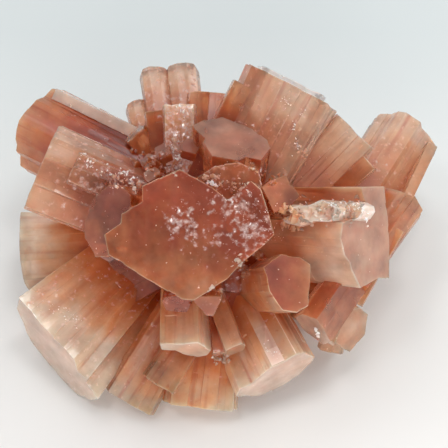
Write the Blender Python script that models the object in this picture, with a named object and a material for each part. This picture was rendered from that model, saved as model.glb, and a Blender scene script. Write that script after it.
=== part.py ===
"""A star-shaped cluster of twinned aragonite crystals, grown together as one stone.

Stubby six-sided prisms with flat ends radiate from a common heart. The largest one points up and
forwards, others lie round it, and the lowest ones carry the stone on worn spots at their ends.
"""

import math
import random
from dataclasses import dataclass

import bmesh
import bpy
from mathutils import Matrix, Vector

# Units and the way the star lies
MM = 0.001
# The star is laid out with Z along its front crystal. LEAN turns it to the way it rests.
LEAN = math.radians(35)
# Height of the star's middle above the surface, in mm
REST_HEIGHT = 16.6
# Middle of the finished stone's box, seen from above, measured from the star's middle, in mm
BOX_MIDDLE = (0.69, 0.46)

# Crystal habit, in mm: lamellae are the ribs that run along a crystal
LAMELLA_WIDTH = 2.4
LAMELLA_STEP = 0.28
SHORTEST_RIBBED_SIDE = 3.0
HEART_RADII = (10.5, 10.0, 8.0)
HEART_MIDDLE = (-1.0, -0.5, -0.5)
HEART_ROUGHNESS = 0.09

# Colours as linear values: the pale orange-brown of iron-stained aragonite
CRYSTAL_COLOUR = (0.45, 0.19, 0.10, 1.0)
CRYSTAL_ROUGHNESS = 0.28

# Corners of a twin's end as shares of its width and depth, starting at the +width side
FLAT_TWIN = (
    (0.50, 0.08),
    (0.42, 0.50),
    (-0.41, 0.50),
    (-0.50, -0.03),
    (-0.36, -0.50),
    (0.37, -0.50),
)
ROUND_TWIN = (
    (0.50, 0.12),
    (0.38, 0.38),
    (0.14, 0.50),
    (-0.16, 0.49),
    (-0.40, 0.36),
    (-0.50, 0.08),
    (-0.36, -0.50),
    (0.37, -0.50),
)


@dataclass
class Crystal:
    """One prism, placed by the middle of its flat end, in the star's own axes and mm.

    heading turns in the star's XY plane from +X, lift rises from there towards +Z, in degrees.
    width lies in the XY plane and depth towards +Z for a crystal with no lift. The root is the
    end's outline drawn in by flare about the place flare_at on the end.
    """

    name: str
    tip: tuple
    heading: float
    lift: float
    length: float
    width: float = 0.0
    depth: float = 0.0
    corners: tuple = FLAT_TWIN
    outline: tuple = ()
    flare: float = 0.88
    flare_at: tuple = (0.0, 0.0)
    step: float = LAMELLA_STEP


# Ends of the larger crystals: points across and along the end, from its middle, in mm
FRONT_END = (
    (-1.3, 8.5),
    (0.5, 7.6),
    (2.8, 6.2),
    (4.8, 4.6),
    (7.2, 6.2),
    (7.9, 7.0),
    (9.2, 5.9),
    (10.1, 3.2),
    (11.0, 0.0),
    (9.4, -1.5),
    (7.0, -3.4),
    (4.9, -5.8),
    (0.5, -8.5),
    (-1.0, -8.4),
    (-5.5, -5.8),
    (-10.6, -2.6),
    (-11.1, 0.0),
    (-9.0, 1.5),
    (-8.9, 2.8),
    (-6.2, 4.3),
    (-6.2, 6.4),
    (-2.6, 8.0),
)
FRONT_SHOULDER_END = (
    (-4.0, 0.8),
    (-1.5, 2.4),
    (1.5, 2.8),
    (4.2, 1.6),
    (4.8, -0.4),
    (3.4, -2.4),
    (-1.0, -3.0),
    (-3.8, -1.8),
)
DARK_END = (
    (-4.7, 0.4),
    (-4.5, 2.2),
    (-3.2, 3.8),
    (0.0, 4.3),
    (4.0, 2.4),
    (5.2, 0.0),
    (5.2, -1.9),
    (2.8, -3.5),
    (0.4, -3.6),
    (-2.8, -2.1),
)
TOP_FACET_END = (
    (6.0, -1.8),
    (4.5, -3.2),
    (2.0, -4.1),
    (-2.5, -2.1),
    (-4.5, -0.2),
    (-5.0, 1.5),
    (-3.9, 3.8),
    (-1.6, 3.6),
    (-0.7, 4.4),
    (2.9, 3.9),
    (4.3, 1.3),
    (4.1, 0.5),
    (5.6, -1.0),
)
LOW_FACET_END = (
    (3.2, 2.9),
    (4.2, 0.1),
    (3.2, -2.5),
    (1.8, -3.8),
    (-3.6, -1.9),
    (-4.1, -0.2),
    (-3.2, 1.9),
    (-0.2, 3.0),
)
LEFT_END = (
    (-5.8, -1.7),
    (-3.9, -0.7),
    (-1.0, 0.2),
    (1.5, 0.3),
    (4.1, -0.5),
    (5.7, -2.4),
    (5.2, -6.5),
    (0.5, -8.0),
    (-5.2, -6.8),
)
UPPER_LEFT_END = (
    (-6.1, 1.8),
    (-4.4, 4.5),
    (-1.4, 5.0),
    (-1.2, 4.6),
    (2.6, 4.6),
    (2.8, 4.2),
    (6.0, 4.0),
    (6.5, 1.0),
    (5.6, -4.6),
    (-1.0, -5.4),
    (-6.4, -3.8),
)
BACK_LEFT_END = (
    (-6.9, -3.6),
    (-6.1, -0.2),
    (-4.3, 1.0),
    (-3.5, 2.3),
    (-0.9, 3.6),
    (0.3, 3.9),
    (1.6, 3.4),
    (3.0, 2.4),
    (4.4, 1.1),
    (5.1, -1.1),
    (6.2, -2.2),
    (6.5, -4.5),
    (4.8, -6.6),
    (-5.0, -6.4),
)
LOWER_LEFT_END = (
    (-8.6, 0.2),
    (-2.5, 0.9),
    (0.8, 2.0),
    (3.0, 2.6),
    (4.7, 1.0),
    (6.5, 1.9),
    (6.8, 0.6),
    (8.6, 0.4),
    (9.7, 0.2),
    (9.4, -1.8),
    (7.7, -5.2),
    (5.3, -6.3),
    (0.0, -7.6),
    (-3.0, -7.3),
    (-5.4, -5.4),
    (-7.6, -3.5),
)
LOWER_RIGHT_END = (
    (-6.2, 0.0),
    (-5.2, 1.8),
    (-3.5, 2.0),
    (-1.0, 3.8),
    (0.2, 4.3),
    (2.1, 4.1),
    (4.0, 4.5),
    (5.1, 3.4),
    (6.2, 0.0),
    (5.6, -1.3),
    (3.1, -3.7),
    (0.6, -4.7),
    (-3.0, -4.5),
    (-4.6, -2.6),
)
RIGHT_END = (
    (6.9, -3.9),
    (4.1, -4.7),
    (1.5, -5.8),
    (-5.8, -6.5),
    (-5.8, -3.6),
    (-7.2, 0.8),
    (-6.0, 2.2),
    (-3.7, 3.9),
    (-2.7, 5.2),
    (-0.7, 6.4),
    (1.6, 6.1),
    (2.5, 1.8),
    (4.6, 0.7),
    (6.6, 1.9),
)
FAR_RIGHT_END = (
    (3.4, -1.2),
    (1.2, 0.8),
    (-0.8, 2.5),
    (-1.8, 1.7),
    (-3.1, 0.3),
    (-3.6, -2.2),
    (-1.0, -4.6),
    (2.8, -4.2),
)
UPPER_RIGHT_END = (
    (5.1, -6.9),
    (4.7, -4.0),
    (3.3, -1.8),
    (2.9, 0.0),
    (1.8, 1.1),
    (-0.8, 1.1),
    (-1.4, -0.1),
    (-3.3, -1.3),
    (-5.2, -2.6),
    (-5.6, -5.4),
    (-2.0, -7.6),
    (3.2, -8.2),
)
WEDGE_END = (
    (-1.8, 1.2),
    (-1.4, 0.5),
    (-0.1, -1.2),
    (0.9, -1.3),
    (1.4, -0.3),
    (2.0, 1.2),
    (2.0, 1.9),
    (-1.7, 1.9),
)
LOWER_SMALL_END = (
    (-3.6, 2.6),
    (-3.5, 0.8),
    (-1.8, 0.3),
    (-0.2, -1.5),
    (1.4, -2.6),
    (2.8, -2.0),
    (3.4, -0.2),
    (1.8, 2.6),
)
RIGHT_FOOT_END = (
    (2.4, -0.9),
    (2.3, 0.6),
    (0.3, 2.3),
    (-2.3, 0.9),
    (-2.5, -1.3),
    (-0.2, -2.4),
)
FOOT_SIDE_END = (
    (3.2, 0.8),
    (2.9, -1.5),
    (0.0, -2.7),
    (-3.2, -1.6),
    (-3.0, 1.9),
    (1.6, 2.8),
)

CRYSTALS = (
    # Crystals that point up and forwards
    Crystal("front", (-4.4, -1.4, 22.0), -90, 90, 24, outline=FRONT_END, flare=0.72),
    Crystal("front_shoulder", (0.4, 5.4, 17.0), -90, 88, 18, outline=FRONT_SHOULDER_END, flare=0.8),
    Crystal("dark_side", (-15.8, 0.7, 13.0), 180, 62, 17, outline=DARK_END, flare=0.8),
    Crystal("top_facet", (1.5, 11.7, 9.0), 85, 47, 17, outline=TOP_FACET_END, flare=0.8),
    Crystal("low_facet", (8.7, -8.0, 14.0), 15, 72, 17, outline=LOW_FACET_END, flare=0.9),
    Crystal("small_hexagon", (7.6, 4.2, 11.0), 30, 72, 12, 4.8, 4.4),
    Crystal("wedge", (-2.3, -11.2, 15.0), -90, 62, 12, outline=WEDGE_END),
    Crystal("stub", (-6.4, -10.8, 12.0), -95, 50, 10, 4.2, 3.0, ROUND_TWIN),
    # Crystals on the left
    Crystal("upper_left", (-25.4, 8.1, 3.0), 157, 3, 25, outline=UPPER_LEFT_END),
    Crystal("upper_left_layer", (-20.8, 7.8, 6.6), 157, 3, 16, 5.0, 4.6),
    Crystal("back_left", (-27.9, 14.4, -7.0), 153, -24, 27, outline=BACK_LEFT_END),
    Crystal("left", (-29.5, -4.0, -5.5), 184, -9, 27, outline=LEFT_END, flare=0.6),
    Crystal(
        "lower_left",
        (-23.7, -17.1, 2.0),
        217.3,
        26,
        25,
        outline=LOWER_LEFT_END,
        flare=0.62,
        flare_at=(-8.0, 0.0),
    ),
    # Crystals at the front foot
    Crystal("left_foot", (-13.4, -25.2, -1.0), 240, -3, 22, 8.4, 5.0, flare=0.75),
    Crystal("left_foot_small", (-9.2, -22.6, 3.0), 238, 4, 16, 5.4, 4.0, flare=0.75),
    Crystal("middle_foot", (-3.4, -25.7, -1.0), 263, -3, 22, 11.0, 7.0, flare=0.7),
    Crystal("lower_right", (7.2, -21.3, 4.0), 296.6, 25, 24, outline=LOWER_RIGHT_END, flare=0.78),
    Crystal("lower_small", (-5.1, -17.4, 8.0), 272, 25, 15, outline=LOWER_SMALL_END),
    Crystal("lower_middle", (-0.4, -18.0, 6.4), 276, 14, 14, 2.8, 3.4),
    Crystal("lower_right_rib", (1.6, -17.3, 8.2), 291, 20, 12, 3.0, 3.0),
    # Crystals on the right
    Crystal("right", (19.4, -1.6, 10.0), -3, 37, 25, outline=RIGHT_END),
    Crystal("right_foot", (13.5, -16.2, -1.0), 240, 4, 20, outline=RIGHT_FOOT_END),
    Crystal("right_foot_short", (11.6, -12.6, -2.5), 238, 0, 14, 5.4, 5.0),
    Crystal("right_foot_side", (18.2, -14.8, 1.0), -28, 50, 15, outline=FOOT_SIDE_END),
    Crystal("right_foot_sliver", (18.2, -11.0, 3.0), 240, 0, 12, 2.6, 3.0),
    Crystal("right_foot_under", (15.3, -18.3, -5.0), 255, -5, 16, 4.0, 4.0),
    Crystal("far_right", (25.6, 3.7, 0.0), 53.7, -24, 24, outline=FAR_RIGHT_END),
    Crystal("upper_right", (27.9, 15.0, -9.0), 56, -21, 26, outline=UPPER_RIGHT_END),
    Crystal("upper_right_fin", (30.1, 11.0, -9.4), 63, -21, 20, 2.0, 4.6, step=0.0),
    Crystal("upper_right_inner", (18.5, 13.1, 1.0), 46, 5, 22, 7.6, 5.0),
    Crystal("upper_right_low", (20.3, 9.0, 0.6), 42, 5, 18, 3.6, 4.4),
    # Crystals at the top
    Crystal("top_right", (9.4, 19.2, 2.0), 62.7, 0, 24, 15.0, 8.6, step=0.4, flare=0.8),
    Crystal("top_right_step", (2.7, 19.4, 3.2), 62.7, 0, 18, 3.4, 6.0),
    Crystal("top_right_slab", (9.9, 20.4, -3.0), 64.5, 0, 22, 11.0, 4.4),
    Crystal("top_left", (-10.3, 22.2, -8.4), 99, -25, 26, 3.8, 5.4, ROUND_TWIN),
    Crystal("top_left_pair", (-6.1, 22.6, -8.4), 97, -25, 26, 4.8, 5.6, ROUND_TWIN),
    Crystal("top_left_low", (-12.7, 17.5, -8.4), 106, -20, 18, 4.0, 5.0, ROUND_TWIN),
    Crystal("top_middle", (-6.2, 16.6, 3.0), 91, -3, 18, 5.0, 4.4),
    Crystal("top_middle_low", (-9.7, 15.8, 1.0), 97, -3, 16, 3.2, 4.0),
    Crystal("top_middle_back", (-2.2, 18.4, -2.4), 86, -8, 18, 6.4, 4.8),
    Crystal("small_left", (-12.6, 12.8, 2.0), 128, 15, 12, 3.6, 3.0),
    Crystal("small_top", (-4.6, 10.8, 6.4), 75, 58, 9, 2.6, 2.4),
    Crystal("small_recess", (-11.8, 10.4, 1.0), 140, 35, 9, 3.4, 3.0),
    Crystal("small_recess_low", (-13.4, 8.0, 4.4), 155, 40, 9, 3.0, 3.0),
    Crystal("recess_middle", (-10.5, 8.7, 6.4), 135, 50, 9, 2.4, 2.4),
    Crystal("recess_near", (-9.9, 6.8, 8.6), 120, 68, 10, 2.6, 1.8),
    Crystal("recess_far", (-8.6, 10.2, 5.4), 112, 48, 9, 2.4, 2.6),
    # Crystals behind and below, some of which the stone also stands on
    Crystal("rear_top", (0.5, 14.5, -13.0), 90, -36, 18, 9.5, 7.5),
    Crystal("rear_top_right", (9.0, 13.0, -14.0), 55, -40, 18, 9.0, 8.0),
    Crystal("rear_top_left", (-9.5, 13.0, -14.0), 124, -40, 18, 8.5, 7.5),
    Crystal("rear_right", (20.0, 1.0, -10.5), 4, -28, 20, 9.5, 8.0),
    Crystal("rear_left", (-20.0, 3.0, -12.0), 172, -32, 20, 10.5, 8.5),
    Crystal("under_left", (-17.0, -9.5, -8.7), 208, -28, 18, 8.6, 7.4),
    Crystal("under_front", (-1.5, -16.0, -9.0), 266, -30, 16, 8.0, 7.0),
    Crystal("under_right", (13.6, -11.4, -11.0), -36, -36, 18, 8.6, 7.6),
    Crystal("base_left", (-9.4, 2.6, -19.2), 165, -62, 17, 9.0, 8.0),
    Crystal("base_right", (8.4, 3.4, -19.6), 20, -64, 17, 8.8, 7.8),
    Crystal("base_middle", (-1.0, -7.0, -15.2), 262, -66, 12, 7.6, 6.8),
)


def clear_scene():
    """Removes the objects that the scene starts with."""
    for old in list(bpy.data.objects):
        bpy.data.objects.remove(old, do_unlink=True)


def twin_outline(crystal):
    """The end of a twin, whose longer sides carry raised and sunken lamellae."""
    chance = random.Random(crystal.name)
    corners = []
    for across, along in crystal.corners:
        swell = chance.uniform(0.95, 1.04)
        corners.append(Vector((across * crystal.width * swell, along * crystal.depth * swell)))
    points = []
    for here, there in zip(corners, corners[1:] + corners[:1]):
        side = there - here
        if side.length < SHORTEST_RIBBED_SIDE:
            points.append(here)
            continue
        inwards = Vector((-side.y, side.x)).normalized()
        count = max(2, round(side.length / LAMELLA_WIDTH))
        breaks = [0.0]
        for index in range(1, count):
            breaks.append((index + chance.uniform(-0.2, 0.2)) / count)
        breaks.append(1.0)
        sunk = chance.random() < 0.5
        for start, end in zip(breaks, breaks[1:]):
            sink = inwards * (crystal.step * chance.uniform(0.6, 1.0) if sunk else 0.0)
            points.append(here + side * start + sink)
            if end < 1.0:
                points.append(here + side * end + sink)
            sunk = not sunk
    return points


def directions(crystal):
    """The crystal's own axes in the star: across its end, along its end, and out of its end."""
    heading = math.radians(crystal.heading)
    lift = math.radians(crystal.lift)
    out = Vector(
        (math.cos(heading) * math.cos(lift), math.sin(heading) * math.cos(lift), math.sin(lift))
    )
    across = Vector((-math.sin(heading), math.cos(heading), 0.0))
    return across, out.cross(across), out


def prism(crystal):
    """A closed prism from the crystal's root to its flat end, in the star's axes and mm."""
    across, along, out = directions(crystal)
    outline = crystal.outline or twin_outline(crystal)
    tip = Vector(crystal.tip)
    middle = tip + across * crystal.flare_at[0] + along * crystal.flare_at[1]
    bm = bmesh.new()
    root = []
    for a, b in outline:
        place = tip + across * a + along * b - middle
        root.append(bm.verts.new(middle - out * crystal.length + place * crystal.flare))
    bottom = bm.faces.new(root)
    raised = bmesh.ops.extrude_face_region(bm, geom=[bottom])
    bmesh.ops.translate(bm, vec=out * crystal.length, verts=moved_verts(raised))
    widen = Matrix.Scale(1 / crystal.flare, 4)
    bmesh.ops.transform(
        bm, matrix=widen, space=Matrix.Translation(-middle), verts=moved_verts(raised)
    )
    bmesh.ops.recalc_face_normals(bm, faces=bm.faces)
    return bm


def moved_verts(made):
    """The vertices among the geometry that an operator made."""
    return [part for part in made["geom"] if isinstance(part, bmesh.types.BMVert)]


def heart():
    """The rough lump that the crystals grow from."""
    chance = random.Random("heart")
    bm = bmesh.new()
    bmesh.ops.create_icosphere(bm, subdivisions=2, radius=1.0)
    for vert in bm.verts:
        rough = 1 + chance.uniform(-HEART_ROUGHNESS, HEART_ROUGHNESS)
        stretched = Vector(radius * value for radius, value in zip(HEART_RADII, vert.co))
        vert.co = Vector(HEART_MIDDLE) + stretched * rough
    return bm


def helper(name, bm, collection):
    """A closed shape that only takes part in a Boolean."""
    mesh = bpy.data.meshes.new(name)
    bm.to_mesh(mesh)
    bm.free()
    made = bpy.data.objects.new(name, mesh)
    made.hide_render = True
    made.display_type = "WIRE"
    collection.objects.link(made)
    return made


def floor_cutter(collection):
    """A slab whose top is the surface that the stone stands on."""
    size = 200.0
    bm = bmesh.new()
    bmesh.ops.create_cube(bm, size=size)
    drop = Matrix.Translation((0.0, 0.0, -REST_HEIGHT - size / 2))
    bmesh.ops.transform(bm, matrix=drop, verts=bm.verts)
    return helper("surface", bm, collection)


def fuse(base, others, floor):
    """Joins the crystals to the heart, leans the star and trims the ends that it stands on."""
    join = base.modifiers.new("join", "BOOLEAN")
    join.operation = "UNION"
    join.solver = "EXACT"
    join.operand_type = "COLLECTION"
    join.collection = others
    joined = evaluated_copy(base, "joined")
    joined.transform(Matrix.Rotation(LEAN, 4, "X"))
    base.modifiers.clear()
    base.data = joined
    trim = base.modifiers.new("trim", "BOOLEAN")
    trim.operation = "DIFFERENCE"
    trim.solver = "EXACT"
    trim.object = floor
    trimmed = evaluated_copy(base, "aragonite_cluster")
    lift = Matrix.Translation((-BOX_MIDDLE[0], -BOX_MIDDLE[1], REST_HEIGHT))
    trimmed.transform(Matrix.Scale(MM, 4) @ lift)
    return trimmed


def evaluated_copy(obj, name):
    """A mesh of the object with its modifiers applied."""
    graph = bpy.context.evaluated_depsgraph_get()
    graph.update()
    mesh = bpy.data.meshes.new_from_object(obj.evaluated_get(graph), depsgraph=graph)
    mesh.name = name
    return mesh


def crystal_material():
    """Satin, slightly translucent orange-brown stone."""
    material = bpy.data.materials.new("aragonite")
    material.use_nodes = True
    shader = material.node_tree.nodes["Principled BSDF"]
    shader.inputs["Base Color"].default_value = CRYSTAL_COLOUR
    shader.inputs["Roughness"].default_value = CRYSTAL_ROUGHNESS
    shader.inputs["Metallic"].default_value = 0.0
    material.diffuse_color = CRYSTAL_COLOUR
    return material


def shells(bm):
    """The separate closed surfaces of a mesh, each as a list of faces, the largest first."""
    found = []
    left = set(bm.faces)
    while left:
        shell = [left.pop()]
        for face in shell:
            for edge in face.edges:
                for other in edge.link_faces:
                    if other in left:
                        left.remove(other)
                        shell.append(other)
        found.append(shell)
    return sorted(found, key=len, reverse=True)


def make_solid(mesh):
    """Fills the small gaps that crystals close off between them, and makes triangles."""
    bm = bmesh.new()
    bm.from_mesh(mesh)
    for gap in shells(bm)[1:]:
        bmesh.ops.delete(bm, geom=gap, context="FACES")
    bmesh.ops.triangulate(bm, faces=bm.faces)
    bm.to_mesh(mesh)
    bm.free()


def main():
    """Builds the stone as one object."""
    clear_scene()
    scene = bpy.context.scene
    others = bpy.data.collections.new("crystals")
    scene.collection.children.link(others)
    for crystal in CRYSTALS:
        helper(crystal.name, prism(crystal), others)
    base = helper("heart", heart(), scene.collection)
    floor = floor_cutter(scene.collection)
    mesh = fuse(base, others, floor)
    make_solid(mesh)
    clear_scene()
    mesh.materials.clear()
    mesh.materials.append(crystal_material())
    stone = bpy.data.objects.new("aragonite_cluster", mesh)
    scene.collection.objects.link(stone)


main()
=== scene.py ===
"""The looks of a star-shaped cluster of twinned aragonite crystals, grown together as one stone.

Stubby six-sided prisms with flat ends radiate from a common heart. Each one is built with the fine
lamellae, growth ledges, worn rims and uneven end faces of the real mineral, and all are fused.
"""

import logging
import math
import random
from collections.abc import Iterable
from dataclasses import dataclass, field
from enum import Enum
from functools import cached_property

import bmesh
import bpy
from mathutils import Euler, Matrix, Vector, noise
from mathutils.bvhtree import BVHTree

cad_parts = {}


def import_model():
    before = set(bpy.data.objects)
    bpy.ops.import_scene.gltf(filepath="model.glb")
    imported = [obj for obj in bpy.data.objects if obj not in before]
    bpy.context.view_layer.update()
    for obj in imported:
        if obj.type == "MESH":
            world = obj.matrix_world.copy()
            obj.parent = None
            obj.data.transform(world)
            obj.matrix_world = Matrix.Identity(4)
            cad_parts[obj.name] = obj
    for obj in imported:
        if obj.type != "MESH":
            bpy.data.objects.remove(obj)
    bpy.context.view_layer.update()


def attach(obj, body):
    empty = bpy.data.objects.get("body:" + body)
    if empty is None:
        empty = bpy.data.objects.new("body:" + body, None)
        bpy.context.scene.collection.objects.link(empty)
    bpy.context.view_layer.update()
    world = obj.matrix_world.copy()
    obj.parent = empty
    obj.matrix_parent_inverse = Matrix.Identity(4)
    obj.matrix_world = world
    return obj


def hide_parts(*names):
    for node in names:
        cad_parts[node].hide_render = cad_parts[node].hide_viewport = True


LOG = logging.getLogger("aragonite")
MM = 0.001

# The layer "cap" on a face: from this to 1 on a crystal's end, and 0 or less on its sides, where it holds
# minus their haze and painted sheen
LEAST_END_MARK = 0.2
# The map on lumps and grains: how far from a crystal's end it lies, in mm, and how drawn out it is
LUMP_MAP = 12.0
LUMP_STRETCH = 0.2

Point = tuple[float, float]
Place = tuple[float, float, float]
# A node's own name, its kind, its settings, and for its inputs the earlier nodes that they take
Step = tuple[str, str, dict, dict]


class Twin(Enum):
    """Corners of a twin's end as shares of its width and depth, from the +width side."""

    FLAT = ((0.50, 0.08), (0.42, 0.50), (-0.41, 0.50), (-0.50, -0.03), (-0.36, -0.50), (0.37, -0.50))
    ROUND = (
        (0.50, 0.12), (0.38, 0.38), (0.14, 0.50), (-0.16, 0.49),
        (-0.40, 0.36), (-0.50, 0.08), (-0.36, -0.50), (0.37, -0.50),
    )


@dataclass(frozen=True)
class Stance:
    """How the star lies: laid out with Z along its front crystal, then leaned back to rest.

    rest_height is the star's middle above the surface, box_middle the middle of the resting
    stone's box seen from above, measured from the star's middle. Lengths are in mm.
    """

    lean: float = math.radians(35)
    rest_height: float = 16.6
    box_middle: Point = (0.69, 0.46)

    def middle(self) -> Vector:
        """The star's middle in the resting stone's frame, in mm."""
        return Vector((-self.box_middle[0], -self.box_middle[1], self.rest_height))

    def turn(self) -> Matrix:
        """The lean as a matrix."""
        return Matrix.Rotation(self.lean, 4, "X")

    def matrix(self) -> Matrix:
        """Takes the star's own axes in mm to the resting stone's frame in metres."""
        return Matrix.Scale(MM, 4) @ Matrix.Translation(self.middle()) @ self.turn()


STANCE = Stance()


def linear(colour: str) -> tuple[float, float, float, float]:
    """Turns an sRGB hex colour into linear values, by the curve of the sRGB standard.

    Args:
        colour: the colour as "#RRGGBB".

    Returns:
        Linear red, green and blue, and an alpha of 1.
    """
    values = []
    for start in (1, 3, 5):
        share = int(colour[start:start + 2], 16) / 255
        values.append(share / 12.92 if share <= 0.04045 else ((share + 0.055) / 1.055) ** 2.4)
    return (values[0], values[1], values[2], 1.0)


def add_node(
    tree: bpy.types.NodeTree, kind: str, settings: dict, links: dict
) -> bpy.types.Node:
    """Adds a node with its settings and links.

    Args:
        tree: the node tree.
        kind: the node's type, without "ShaderNode".
        settings: values by input name or number, or by the node's own property name. "stops"
            holds a colour ramp's places and hex colours.
        links: the output that each input takes, by input name or number.

    Returns:
        The new node.
    """
    made = tree.nodes.new("ShaderNode" + kind)
    for key, value in settings.items():
        if key == "stops":
            ramp = made.color_ramp.elements
            while len(ramp) < len(value):
                ramp.new(0.5)
            for stop, (place, colour) in zip(ramp, value):
                stop.position = place
                stop.color = linear(colour)
        elif isinstance(key, int) or key in made.inputs:
            made.inputs[key].default_value = value
        else:
            setattr(made, key, value)
    for key, source in links.items():
        tree.links.new(source, made.inputs[key])
    return made


def set_nodes(owner: bpy.types.Material | bpy.types.World, steps: Iterable[Step]) -> None:
    """Gives a material or a world its nodes.

    Args:
        owner: the material or world.
        steps: the nodes in order. A link names an earlier node, with a dot and the output's name
            or number where that isn't the first.
    """
    owner.use_nodes = True
    owner.node_tree.nodes.clear()
    made = {}
    for name, kind, settings, links in steps:
        sources = {}
        for key, source in links.items():
            node, _, output = source.partition(".")
            sources[key] = made[node].outputs[int(output) if output.isdigit() else output or 0]
        made[name] = add_node(owner.node_tree, kind, settings, sources)


def smooth(span: Point) -> dict:
    """A Map Range node's settings that take a span to 0 to 1, smoothly and clamped."""
    return {"interpolation_type": "SMOOTHSTEP", 1: span[0], 2: span[1]}


@dataclass(frozen=True)
class RibEdge:
    """One long edge of a lamella, at the crystal's end, with what happens to it along the side.

    place is the point on the end's outline and reach its way along the outline, in mm. inwards
    points into the crystal. aside moves a sunken edge away from the corner that it stands at.
    sink is how deep the edge lies below the outline, and drops are the growth layers that stop
    on it, each by its distance from the end and the height of its ledge.
    """

    place: Vector
    inwards: Vector
    aside: Vector
    reach: float
    sink: float
    drops: tuple[Point, ...]

    def sunk(self, distance: float) -> float:
        """How deep the edge lies below the outline, at a distance from the end, in mm."""
        return self.sink + sum(drop for level, drop in self.drops if distance < level)

    def point(self, distance: float, extra: float) -> Vector:
        """The edge's place across the crystal, at a distance from the end, in mm."""
        depth = self.sunk(distance)
        return self.place + self.inwards * (depth + extra) + self.aside * depth


@dataclass(frozen=True)
class Look:
    """What sets one crystal's colour and surface apart from its neighbours, as shares of 1.

    tone runs from dark red-brown to cream, stain is how strong its rusty bands are, frost how
    much of it is rough and sparkling, and clear how far one sees into it. drop is how much
    darker it is a good way in from its end. On the flat end, end is the tone, veil how whitened
    and pinkish it is, partly by its own milkiness and partly by a painted sheen of the room, and
    fade how the tone changes across and along it, for each mm. On the sides, side_fade is how
    the tone changes across them, for each mm, and haze how whitened they are, partly by their
    own haze and partly by a painted sheen; on white grains it makes painted glints. Sides that
    face a set direction, in the star's axes, and lie far enough across carry a painted sheen of
    the room's light: they are lighter by up to its strength at the end, fading out over its
    length, in mm.
    """

    tone: float = 0.5
    stain: float = 0.5
    frost: float = 0.1
    clear: float = 0.5
    veil_and_sheen: float = 0.6
    end: float = 0.5
    drop: float = 0.0
    fade: Point = (0.0, 0.0)
    side_fade: float = 0.0
    haze_and_sheen: float = 0.0
    painted_sheen: float = 0.0
    painted_sheen_side: Place = (0.0, 0.0, 1.0)
    painted_sheen_length: float = 8.0
    painted_sheen_from: float = -30.0

    def end_mark(self) -> float:
        """What the layer "cap" holds on the end, by its veil."""
        return LEAST_END_MARK + (1 - LEAST_END_MARK) * self.veil_and_sheen


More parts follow.
